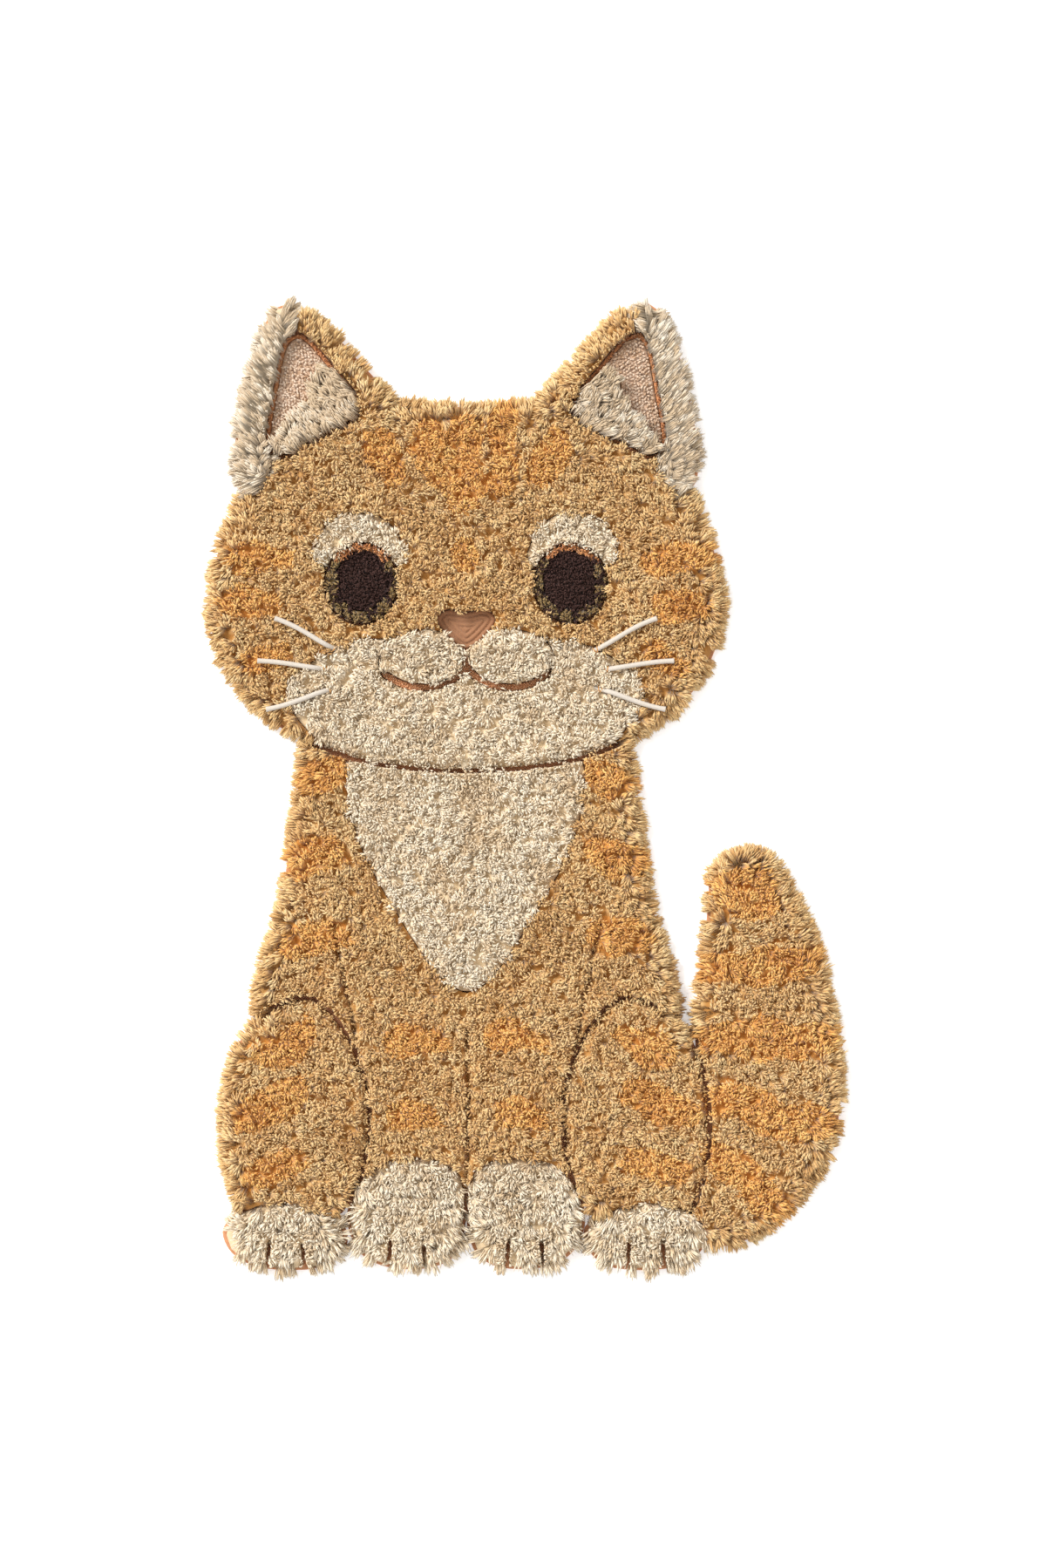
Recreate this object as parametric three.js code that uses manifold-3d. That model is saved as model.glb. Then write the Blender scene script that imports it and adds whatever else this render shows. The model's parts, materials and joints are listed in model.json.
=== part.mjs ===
// A shaped, tufted cotton rug: a sitting tabby kitten, seen from above as it lies on the floor.
// A flat ground cloth carries the tufted fields. Each field is a slab of pile in one yarn and one height.
// Shag is lumpy on top and has locks of yarn at the rug's rim. Carved lines part the limbs.
// Millimetres, +Z up off the floor, +Y towards the ears. The origin is under the middle of the rug.
import * as THREE from "three";
import { mergeVertices } from "three/addons/utils/BufferGeometryUtils.js";
import Module from "manifold-3d";

const wasm = await Module();
wasm.setup();

// Heights above the floor.
const CLOTH_TOP = 2.5;
const SEAT = CLOTH_TOP + 0.3; // the fields start here, just clear of the cloth
const ABOVE_ALL = 60;
const WIDER_THAN_ALL = 1600;

// The kinds of pile: its height, how far its lumps stand above or below that, and how far apart they are.
const PILES = {
  puff: { top: 27, lump: 2.5, pitch: 30 },
  shag: { top: 23, lump: 2.5, pitch: 30 },
  ring: { top: 19, lump: 1, pitch: 22 },
  velour: { top: 17, lump: 0.8, pitch: 22 },
  lining: { top: 9, lump: 0 },
  line: { top: 7.5, lump: 0 },
  rib: { top: 7, lump: 0 },
};
const CROWN = { inset: 8, drop: 12, over: 0.6 }; // how a shag field rounds over at its edge
const NARROW_CROWN = { inset: 5, drop: 12 };
const CLOTH_RIM = 3; // the cloth reaches this far past the pile
const GRID = { halfWide: 400, halfTall: 530, centreX: 70 }; // what the lumps' grid covers

// How far apart the points of an outline are.
const STEP = { body: 22, rim: 16, ear: 15, ellipse: 14, nose: 9 };

// Lines between fields, measured across.
const TOUCHING = 0.3; // the yarns meet
const EYE_LINE = 2.5;
const CARVED = 4.5; // the cloth shows at the bottom of the line
const EAR_LINE = 5;

// Locks of yarn that hang over the rim.
const LOCK = {
  every: 15,
  long: 17,
  longer: 8, // the longest is this much longer
  thick: 5,
  rootIn: 8, // its root lies this far inside the outline
  rootAt: 14, // and this high
  rootVary: 3,
  droop: 0.4,
  turn: 0.9, // the most it turns to one side or the other, in all
  clear: 9,
};

// Face parts. The cat's own middle line is x = 0 until the whole rug is centred.
const EYE = { x: 107, y: 212, wide: 28, tall: 32 };
const EYE_RING = { x: 108, y: 209, wide: 37, tall: 41 };
const PUFF = { x: 45, y: 132, wide: 47, tall: 30 };
const MOUTH = { half: 3.75, stemTop: 150, stemFoot: 122, from: -168, to: -32 };
const NOSE_RIBS = { y: 166, count: 3, outer: 0.98, step: 0.3, width: 0.18, rise: 2.4, sunk: 1 };

// The lines between the toes: how far they stand from the paw's middle.
const TOES = { forepaw: { x: 61, foot: -504, off: 20 }, hindpaw: { x: 186, foot: -504, off: 20 } };
const TOE_LINE = { half: 2, long: 36, lean: 3.3 };

// Lines carved into one field: V-shaped, wide at the top.
const CREASE = { half: 5, above: 6, deep: 14, steps: 6 };

const YARN = {
  rust: 0xb06a42,
  tan: 0xcba26b,
  cream: 0xded0b6,
  pink: 0xdcae94,
  dark: 0x32252a,
  olive: 0x7a6138,
  brown: 0xa06c4e,
  cord: 0xe6ddd0,
};

// The right half of the face, from crown to chin.
const FACE = [
  { at: "crown", x: 0, y: 390 },
  { at: "brow", x: 98, y: 390 },
  { at: "temple", x: 200, y: 344 },
  { at: "cheekbone", x: 250, y: 256 },
  { at: "cheek", x: 262, y: 170 },
  { at: "jowl", x: 226, y: 92 },
  { at: "jaw", x: 134, y: 36 },
  { at: "chin", x: 0, y: 18 },
];

// The right ear.
const EAR = [
  { at: "inner root", x: 66, y: 366 },
  { at: "inner side", x: 120, y: 446 },
  { at: "inner tip", x: 170, y: 490 },
  { at: "outer tip", x: 192, y: 486 },
  { at: "outer side", x: 217, y: 412 },
  { at: "outer root", x: 224, y: 300 },
  { at: "base", x: 150, y: 314 },
];

// The low lining in the right ear, the cream tufts over its lower half, and the ear's cream outer rim.
const EAR_HOLLOW = [
  { at: "inner corner", x: 112, y: 388 },
  { at: "inner side", x: 140, y: 430 },
  { at: "tip", x: 178, y: 466 },
  { at: "outer side", x: 195, y: 408 },
  { at: "outer corner", x: 199, y: 342 },
  { at: "base", x: 156, y: 360 },
];
const EAR_TUFT = [
  { at: "inner corner", x: 98, y: 394 },
  { at: "inner side", x: 124, y: 426 },
  { at: "top", x: 152, y: 430 },
  { at: "middle", x: 163, y: 398 },
  { at: "outer side", x: 184, y: 374 },
  { at: "outer corner", x: 210, y: 332 },
  { at: "base", x: 150, y: 338 },
];
const EAR_RIM = [
  { at: "inner tip", x: 174, y: 488 },
  { at: "tip", x: 186, y: 499 },
  { at: "outer tip", x: 203, y: 484 },
  { at: "outer side", x: 227, y: 410 },
  { at: "outer root", x: 237, y: 322 },
  { at: "lower root", x: 224, y: 298 },
  { at: "inner root", x: 204, y: 316 },
  { at: "inner side", x: 192, y: 404 },
];

const BROW = [
  { at: "inner end", x: 64, y: 226 },
  { at: "inner top", x: 76, y: 268 },
  { at: "top", x: 110, y: 284 },
  { at: "outer top", x: 146, y: 268 },
  { at: "outer end", x: 156, y: 230 },
  { at: "under", x: 108, y: 226 },
];

// The right half of the nose, the muzzle, the bib and the trunk.
const NOSE_HALF = [
  { at: "bridge", x: 0, y: 180 },
  { at: "top", x: 20, y: 183 },
  { at: "corner", x: 31, y: 174 },
  { at: "side", x: 21, y: 157 },
  { at: "tip", x: 0, y: 142 },
];
const MUZZLE = [
  { at: "under the nose", x: 0, y: 130 },
  { at: "puff", x: 48, y: 146 },
  { at: "cheek top", x: 112, y: 150 },
  { at: "cheek end", x: 186, y: 98 },
  { at: "jaw", x: 116, y: 20 },
  { at: "chin", x: 0, y: 0 },
];
const BIB = [
  { at: "throat", x: 0, y: 46 },
  { at: "collar", x: 112, y: 50 },
  { at: "side", x: 118, y: -30 },
  { at: "lower side", x: 78, y: -120 },
  { at: "point", x: 0, y: -214 },
];
const TRUNK = [
  { at: "neck", x: 0, y: 72 },
  { at: "shoulder", x: 152, y: 68 },
  { at: "chest", x: 174, y: -20 },
  { at: "ribs", x: 190, y: -124 },
  { at: "waist", x: 216, y: -226 },
  { at: "hip", x: 192, y: -340 },
  { at: "shin", x: 98, y: -436 },
  { at: "under the paw", x: 56, y: -450 },
  { at: "between the paws", x: 0, y: -420 },
];

// The right haunch, forepaw and hind paw.
const HAUNCH = [
  { at: "knee", x: 104, y: -312 },
  { at: "top", x: 162, y: -220 },
  { at: "hip", x: 226, y: -256 },
  { at: "rump", x: 250, y: -352 },
  { at: "heel", x: 222, y: -448 },
  { at: "shin", x: 130, y: -440 },
];
const FOREPAW = [
  { at: "inner top", x: 10, y: -396 },
  { at: "top", x: 54, y: -384 },
  { at: "outer top", x: 100, y: -398 },
  { at: "outer side", x: 121, y: -446 },
  { at: "outer toe", x: 104, y: -486 },
  { at: "middle toe", x: 60, y: -498 },
  { at: "inner toe", x: 17, y: -488 },
  { at: "inner side", x: 2.4, y: -446 },
];
const HINDPAW = [
  { at: "inner side", x: 125, y: -460 },
  { at: "top", x: 174, y: -432 },
  { at: "outer top", x: 230, y: -440 },
  { at: "outer side", x: 251, y: -466 },
  { at: "outer toe", x: 228, y: -491 },
  { at: "middle toe", x: 180, y: -499 },
  { at: "inner toe", x: 138, y: -490 },
];

// The tail's middle line, with half its width at each place.
const TAIL = [
  { at: "root", x: 206, y: -440, half: 30 },
  { at: "sweep", x: 268, y: -424, half: 50 },
  { at: "bend", x: 314, y: -350, half: 66 },
  { at: "rise", x: 310, y: -258, half: 70 },
  { at: "upper", x: 304, y: -172, half: 57 },
  { at: "tip", x: 292, y: -106, half: 38 },
];

// Creases in the trunk, as the points of their middle lines.
const CREASES = [
  { at: "between the forelegs", line: [[0, -252], [2, -330], [0, -424]] },
  { at: "right foreleg", line: [[138, -142], [121, -224], [107, -306]] },
  { at: "left foreleg", line: [[-138, -142], [-121, -224], [-107, -306]] },
];

// The right whiskers: where each is sewn on, the way it points and how far it bows.
const WHISKER = { diameter: 5, sides: 8, steps: 9 };
const TROUGH = { diameter: 7, sides: 5 };
const WHISKERS = [
  { at: "upper", x: 128, y: 138, degrees: 24, bow: 1 },
  { at: "middle", x: 138, y: 120, degrees: 5, bow: 0.6 },
  { at: "lower", x: 132, y: 102, degrees: -15, bow: -0.8 },
];

// The middle line of a whisker: it comes up out of the pile, then lies on it.
const WHISKER_ROUTE = [
  { along: 0, aside: 0, height: 15.5 },
  { along: 3, aside: 0, height: 16 },
  { along: 7, aside: 0.1, height: 17.9 },
  { along: 11, aside: 0.2, height: 20.6 },
  { along: 15, aside: 0.4, height: 23.1 },
  { along: 19, aside: 0.7, height: 24.7 },
  { along: 24, aside: 1.2, height: 25.3 },
  { along: 30, aside: 1.9, height: 25.4 },
  { along: 36, aside: 2.7, height: 25.3 },
  { along: 42, aside: 3.4, height: 25.1 },
  { along: 48, aside: 4, height: 25.2 },
  { along: 54, aside: 4.4, height: 25.3 },
  { along: 60, aside: 4.6, height: 25.2 },
  { along: 66, aside: 4.6, height: 25.1 },
  { along: 72, aside: 4.3, height: 25 },
  { along: 77, aside: 3.8, height: 25 },
];

// Outlines

const SIDES = [
  { name: "left", sign: -1 },
  { name: "right", sign: 1 },
];

const mirrored = (rows) => rows.map((row) => ({ ...row, x: -row.x })).reverse();
const bothHalves = (rows) => [...rows, ...mirrored(rows).filter((row) => row.x !== 0)];
const onSide = (rows, { sign }) => (sign > 0 ? rows : mirrored(rows));

function counterClockwise(outline) {
  return THREE.ShapeUtils.isClockWise(outline) ? outline.slice().reverse() : outline;
}

// A smooth closed outline through the rows' points, in even steps.
function loop(rows, step = STEP.body) {
  const points = rows.map((row) => new THREE.Vector3(row.x, row.y, 0));
  const curve = new THREE.CatmullRomCurve3(points, true, "centripetal");
  const outline = curve.getSpacedPoints(Math.round(curve.getLength() / step)).slice(0, -1);
  return counterClockwise(outline.map((point) => new THREE.Vector2(point.x, point.y)));
}

function ellipse({ x, y, wide, tall }, { sign }) {
  const curve = new THREE.EllipseCurve(sign * x, y, wide, tall);
  return curve.getSpacedPoints(Math.round(curve.getLength() / STEP.ellipse)).slice(0, -1);
}

// A band round a middle line, as far to each side as its rows say, with a round far end.
function band(rows, steps) {
  const line = new THREE.CatmullRomCurve3(rows.map((row) => new THREE.Vector3(row.x, row.y, row.half)));
  const right = [];
  const left = [];
  for (let i = 0; i <= steps; i++) {
    const at = line.getPointAt(i / steps);
    const along = line.getTangentAt(i / steps);
    const side = new THREE.Vector2(along.y, -along.x).setLength(at.z);
    right.push(new THREE.Vector2(at.x, at.y).add(side));
    left.push(new THREE.Vector2(at.x, at.y).sub(side));
  }
  return counterClockwise([...right, ...roundEnd(right.at(-1), left.at(-1)), ...left.reverse()]);
}

// The points of a half circle, from the right side of a band's end to the left.
function roundEnd(from, to) {
  const steps = from.distanceTo(to) > STEP.body ? 9 : 3;
  const middle = from.clone().add(to).multiplyScalar(0.5);
  const turned = (i) => from.clone().rotateAround(middle, (Math.PI * i) / steps);
  return Array.from({ length: steps - 1 }, (_, i) => turned(i + 1));
}

// The outline moved outwards by a distance.
function grown(outline, by) {
  return outline.map((point, i) => {
    const along = outline[(i + 1) % outline.length].clone().sub(outline.at(i - 1)).setLength(by);
    return new THREE.Vector2(point.x + along.y, point.y - along.x);
  });
}

function scaled(outline, centre, factor) {
  return outline.map((point) => point.clone().sub(centre).multiplyScalar(factor).add(centre));
}

function holds(outline, point) {
  let inside = false;
  outline.forEach((a, i) => {
    const b = outline.at(i - 1);
    if (a.y > point.y === b.y > point.y) return;
    if (point.x < ((b.x - a.x) * (point.y - a.y)) / (b.y - a.y) + a.x) inside = !inside;
  });
  return inside;
}

// Points at even steps along an outline, each with the way out of it.
function stations(outline, every) {
  const found = [];
  let ahead = every / 2;
  outline.forEach((from, i) => {
    const to = outline[(i + 1) % outline.length];
    const along = to.clone().sub(from).normalize();
    const length = to.distanceTo(from);
    for (; ahead < length; ahead += every) {
      const at = from.clone().addScaledVector(along, ahead);
      found.push({ at, out: new THREE.Vector2(along.y, -along.x) });
    }
    ahead -= length;
  });
  return found;
}

// A number from 0 to 1 that looks random but is always the same for one place.
function scatter(i, j) {
  const spread = Math.sin(i * 127.1 + j * 311.7) * 43758.5453;
  return spread - Math.floor(spread);
}

// Solids

function solidOf(geometry) {
  const bare = new THREE.BufferGeometry().setAttribute("position", geometry.getAttribute("position"));
  const merged = mergeVertices(bare.setIndex(geometry.index), 1e-3);
  const vertProperties = merged.getAttribute("position").array;
  const triVerts = new Uint32Array(merged.index.array);
  return new wasm.Manifold(new wasm.Mesh({ numProp: 3, vertProperties, triVerts }));
}

const joined = (solids) => solids.reduce((whole, solid) => whole.add(solid));

function prism(outline, bottom, top) {
  const depth = top - bottom;
  const geometry = new THREE.ExtrudeGeometry(new THREE.Shape(outline), { depth, bevelEnabled: false });
  return solidOf(geometry.translate(0, 0, bottom));
}

// A tall block over an outline whose upper edge rounds over. Its lower edge does too, under the floor.
function crowned(outline, top, { inset, drop }) {
  const geometry = new THREE.ExtrudeGeometry(new THREE.Shape(outline), {
    depth: top,
    bevelThickness: drop,
    bevelSize: inset,
    bevelOffset: -inset,
    bevelSegments: 1,
  });
  return solidOf(geometry.translate(0, 0, -drop));
}

// A block wider than the rug whose top is lumpy: one height at each crossing of its grid.
function pileBlock({ top, lump, pitch = GRID.halfTall }) {
  const columns = 2 * Math.ceil(GRID.halfWide / pitch);
  const rows = 2 * Math.ceil(GRID.halfTall / pitch);
  const geometry = new THREE.BoxGeometry(columns * pitch, rows * pitch, 1, columns, rows, 1);
  const place = geometry.getAttribute("position");
  for (let k = 0; k < place.count; k++) {
    const i = Math.round(place.getX(k) / pitch);
    const j = Math.round(place.getY(k) / pitch);
    const height = top + lump * (2 * scatter(i, j) - 1);
    place.setZ(k, place.getZ(k) > 0 ? height : -SEAT);
  }
  const lumpy = solidOf(geometry.translate(GRID.centreX, 0, 0));
  const aboveSeat = new THREE.BoxGeometry(WIDER_THAN_ALL, WIDER_THAN_ALL, ABOVE_ALL);
  return lumpy.intersect(solidOf(aboveSeat.translate(0, 0, SEAT + ABOVE_ALL / 2)));
}

// A V-shaped cutter along a line on top of the shag. The section's x runs down into the pile.
function crease(line) {
  const path = new THREE.CatmullRomCurve3(line.map(([x, y]) => new THREE.Vector3(x, y, PILES.shag.top)));
  const corners = [
    [-CREASE.above, -CREASE.half],
    [CREASE.deep, 0],
    [-CREASE.above, CREASE.half],
  ];
  const section = new THREE.Shape(corners.map(([x, y]) => new THREE.Vector2(x, y)));
  const { steps } = CREASE;
  return solidOf(new THREE.ExtrudeGeometry(section, { steps, extrudePath: path, bevelEnabled: false }));
}

// The lines between a paw's toes, cut down to the cloth from its lower edge.
function toeLines({ x, foot, off }, { sign }) {
  const lines = [-off, off].map((aside) => {
    const start = { x: sign * x + aside, y: foot, half: TOE_LINE.half };
    const end = { ...start, x: start.x - Math.sign(aside) * TOE_LINE.lean, y: foot + TOE_LINE.long };
    return prism(band([start, end], 1), 0, ABOVE_ALL);
  });
  return joined(lines);
}

// Rows of low ribs, one inside the other.
function noseRibs(outline) {
  const centre = new THREE.Vector2(0, NOSE_RIBS.y);
  const bottom = PILES.rib.top - NOSE_RIBS.sunk;
  const top = PILES.rib.top + NOSE_RIBS.rise;
  const rows = Array.from({ length: NOSE_RIBS.count }, (_, i) => {
    const outer = NOSE_RIBS.outer - i * NOSE_RIBS.step;
    const ring = prism(scaled(outline, centre, outer), bottom, top);
    return ring.subtract(prism(scaled(outline, centre, outer - NOSE_RIBS.width), 0, ABOVE_ALL));
  });
  return joined(rows);
}

// A stem under the nose, and an arc along the lower edge of each puff.
function mouthOutlines() {
  const stem = [MOUTH.stemTop, MOUTH.stemFoot].map((y) => ({ x: 0, y, half: MOUTH.half }));
  const arcs = SIDES.map(({ sign }) => {
    const rows = [0, 0.25, 0.5, 0.75, 1].map((share) => {
      const angle = THREE.MathUtils.degToRad(THREE.MathUtils.lerp(MOUTH.from, MOUTH.to, share));
      const x = sign * (PUFF.x + PUFF.wide * Math.cos(angle));
      return { x, y: PUFF.y + PUFF.tall * Math.sin(angle), half: MOUTH.half };
    });
    return band(rows, 9);
  });
  return [band(stem, 1), ...arcs];
}

// A tube along a whisker's route: the whisker itself, or the wider and longer trough that it lies in.
function whiskerTube({ x, y, degrees, bow }, { sign }, { diameter, sides }) {
  const turn = THREE.MathUtils.degToRad(degrees);
  const along = new THREE.Vector3(sign * Math.cos(turn), Math.sin(turn), 0);
  const aside = new THREE.Vector3(-sign * Math.sin(turn), Math.cos(turn), 0);
  const root = new THREE.Vector3(sign * x, y, 0);
  const points = WHISKER_ROUTE.map((row) => {
    const at = root.clone().addScaledVector(along, row.along);
    return at.addScaledVector(aside, bow * row.aside).setZ(row.height);
  });
  const clearance = (diameter - WHISKER.diameter) / 2;
  points[0].addScaledVector(along, -clearance);
  points.at(-1).addScaledVector(along, clearance);
  const section = new THREE.EllipseCurve(0, 0, diameter / 2, diameter / 2).getPoints(sides).slice(0, -1);
  return new THREE.ExtrudeGeometry(new THREE.Shape(section), {
    steps: WHISKER.steps,
    extrudePath: new THREE.CatmullRomCurve3(points),
    bevelEnabled: false,
  });
}

// A lock of yarn: a three-sided cone from inside the pile to a tip that droops outside it.
function lock(root, out, unevenness) {
  const long = LOCK.long + LOCK.longer * unevenness;
  const cone = new THREE.ConeGeometry(LOCK.thick, long, 3, 1).translate(0, long / 2, 0);
  const way = out.clone().rotateAround(new THREE.Vector2(), LOCK.turn * (unevenness - 0.5));
  const direction = new THREE.Vector3(way.x, way.y, -LOCK.droop).normalize();
  cone.applyQuaternion(new THREE.Quaternion().setFromUnitVectors(new THREE.Vector3(0, 1, 0), direction));
  return solidOf(cone.translate(root.x, root.y, LOCK.rootAt + LOCK.rootVary * (unevenness - 0.5)));
}

// The fields, in the order in which they take their ground: each leaves out what the ones before it hold.

const pair = (name, outlineOf, options) =>
  SIDES.map((side) => ({ name: `${name}_${side.name}`, outlines: [outlineOf(side)], ...options(side) }));

const noseOutline = loop(bothHalves(NOSE_HALF), STEP.nose);
const faceOutline = loop(bothHalves(FACE));
const hollowOn = (side) => loop(onSide(EAR_HOLLOW, side), STEP.ear);
const troughs = joined(
  WHISKERS.flatMap((whisker) => SIDES.map((side) => solidOf(whiskerTube(whisker, side, TROUGH)))),
);

const FIELDS = [
  { name: "nose", outlines: [noseOutline], pile: "rib", yarn: "brown", more: noseRibs(noseOutline) },
  { name: "mouth_line", outlines: mouthOutlines(), pile: "line", yarn: "rust" },
  ...pair("eye", (side) => ellipse(EYE, side), () => ({ pile: "velour", yarn: "dark" })),
  ...pair("eye_ring", (side) => ellipse(EYE_RING, side), () => ({
    pile: "ring",
    yarn: "olive",
    parted: EYE_LINE,
  })),
  ...pair("brow", (side) => loop(onSide(BROW, side), STEP.ear), () => ({ pile: "shag", yarn: "cream" })),
  ...pair("muzzle_puff", (side) => ellipse(PUFF, side), () => ({
    pile: "puff",
    yarn: "cream",
    crown: CROWN,
  })),
  ...pair("ear_tuft", (side) => loop(onSide(EAR_TUFT, side), STEP.ear), (side) => ({
    pile: "shag",
    yarn: "cream",
    within: hollowOn(side),
  })),
  ...pair("ear_lining", hollowOn, () => ({ pile: "lining", yarn: "pink" })),
  ...pair("ear_line", (side) => grown(hollowOn(side), EAR_LINE), () => ({ pile: "line", yarn: "rust" })),
  ...pair("ear_rim", (side) => loop(onSide(EAR_RIM, side), STEP.rim), () => ({
    pile: "shag",
    yarn: "cream",
    crown: NARROW_CROWN,
    rim: true,
  })),
  {
    name: "muzzle",
    outlines: [loop(bothHalves(MUZZLE))],
    within: faceOutline,
    pile: "shag",
    yarn: "cream",
    crown: CROWN,
    less: troughs,
  },
  {
    name: "head",
    outlines: [faceOutline, ...SIDES.map((side) => loop(onSide(EAR, side)))],
    pile: "shag",
    yarn: "tan",
    crown: CROWN,
    less: troughs,
    parted: CARVED,
    rim: true,
  },
  { name: "bib", outlines: [loop(bothHalves(BIB))], pile: "shag", yarn: "cream" },
  ...pair("forepaw", (side) => loop(onSide(FOREPAW, side)), (side) => ({
    pile: "shag",
    yarn: "cream",
    crown: CROWN,
    less: toeLines(TOES.forepaw, side),
    rim: true,
  })),
  ...pair("hindpaw", (side) => loop(onSide(HINDPAW, side)), (side) => ({
    pile: "shag",
    yarn: "cream",
    crown: CROWN,
    less: toeLines(TOES.hindpaw, side),
    rim: true,
  })),
  ...pair("haunch", (side) => loop(onSide(HAUNCH, side)), () => ({
    pile: "shag",
    yarn: "tan",
    crown: CROWN,
    parted: CARVED,
    rim: true,
  })),
  {
    name: "trunk",
    outlines: [loop(bothHalves(TRUNK))],
    pile: "shag",
    yarn: "tan",
    crown: CROWN,
    less: joined(CREASES.map(({ line }) => crease(line))),
    parted: CARVED,
    rim: true,
  },
  { name: "tail", outlines: [band(TAIL, 22)], pile: "shag", yarn: "tan", crown: CROWN, rim: true },
];

const allOutlines = FIELDS.flatMap((field) => field.outlines);
const tips = [];

// The locks of a field, at even steps along those stretches of its outlines that are the rug's own rim.
// A lock keeps off the later fields, and with its root too off the earlier ones, which cut into its field.
function locksOf(field) {
  return field.outlines.flatMap((own) => {
    const place = allOutlines.indexOf(own);
    const earlier = allOutlines.slice(0, place).map((outline) => grown(outline, LOCK.clear));
    const later = allOutlines.slice(place + 1).map((outline) => grown(outline, LOCK.clear / 2));
    const free = ({ at, out }) => {
      const root = at.clone().addScaledVector(out, -LOCK.rootIn);
      const tip = at.clone().addScaledVector(out, LOCK.long - LOCK.rootIn);
      if (earlier.some((outline) => [root, at, tip].some((point) => holds(outline, point)))) return false;
      if (later.some((outline) => [at, tip].some((point) => holds(outline, point)))) return false;
      if (tips.some((other) => other.distanceTo(tip) < LOCK.clear)) return false;
      tips.push(tip);
      return true;
    };
    return stations(own, LOCK.every)
      .filter(free)
      .map(({ at, out }) => lock(at.clone().addScaledVector(out, -LOCK.rootIn), out, scatter(at.x, at.y)));
  });
}

const blocks = Object.fromEntries(Object.entries(PILES).map(([kind, pile]) => [kind, pileBlock(pile)]));

function solidOfField(field) {
  const { top, lump } = PILES[field.pile];
  const upright = (outline) => prism(outline, 0, ABOVE_ALL);
  const rounded = (outline) => crowned(outline, top + lump + CROWN.over, field.crown);
  const edge = field.crown ? rounded : upright;
  let solid = joined(field.outlines.map(field.within ? upright : edge));
  if (field.within) solid = solid.intersect(edge(field.within));
  return solid.intersect(blocks[field.pile]);
}

// The ground that a field takes from the later ones, as far as the line that parts them.
function groundOf(field) {
  const parted = field.parted ?? TOUCHING;
  const wide = (outline) => prism(grown(outline, parted), 0, ABOVE_ALL);
  const ground = joined(field.outlines.map(wide));
  return field.within ? ground.intersect(wide(field.within)) : ground;
}

function meshOf(name, geometry, yarn) {
  const material = new THREE.MeshStandardMaterial({
    color: YARN[yarn],
    roughness: 0.95,
    metalness: 0,
    flatShading: true,
  });
  const mesh = new THREE.Mesh(geometry, material);
  mesh.name = name;
  return mesh;
}

function geometryOf(solid) {
  const { vertProperties, triVerts } = solid.getMesh();
  const geometry = new THREE.BufferGeometry();
  geometry.setAttribute("position", new THREE.BufferAttribute(vertProperties, 3));
  return geometry.setIndex(new THREE.BufferAttribute(triVerts, 1));
}

const rug = new THREE.Group();

const rimOutlines = FIELDS.filter((field) => field.rim).flatMap((field) => field.outlines);
const cloth = joined(rimOutlines.map((outline) => prism(grown(outline, CLOTH_RIM), 0, CLOTH_TOP)));
rug.add(meshOf("ground_cloth", geometryOf(cloth), "rust"));

let taken = null;
for (const field of FIELDS) {
  let solid = solidOfField(field);
  if (taken) solid = solid.subtract(taken);
  if (field.less) solid = solid.subtract(field.less);
  if (field.more) solid = solid.add(field.more);
  if (field.rim) solid = joined([solid, ...locksOf(field)]);
  rug.add(meshOf(field.name, geometryOf(solid), field.yarn));
  taken = taken ? taken.add(groundOf(field)) : groundOf(field);
}

for (const whisker of WHISKERS) {
  for (const side of SIDES) {
    rug.add(meshOf(`whisker_${whisker.at}_${side.name}`, whiskerTube(whisker, side, WHISKER), "cord"));
  }
}

// The tail lies on one side only, so the whole rug is moved to stand over the origin.
const middle = new THREE.Box3().setFromObject(rug).getCenter(new THREE.Vector3());
rug.position.set(-middle.x, -middle.y, 0);

export default rug;
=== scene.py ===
"""A washable tufted cotton rug in the outline of a sitting kitten, lying face up on a pale floor.

Lengths are in millimetres until a mesh is made. +Z is up off the floor and +Y is towards the ears.
A tufted field is a closed undercoat, and closed strands of cotton that stand on it in tufts. They are one
piece, or two where the field has ginger bars.
"""

import json

import bpy
import numpy as np
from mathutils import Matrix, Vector, geometry, kdtree
from mathutils.bvhtree import BVHTree

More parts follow.
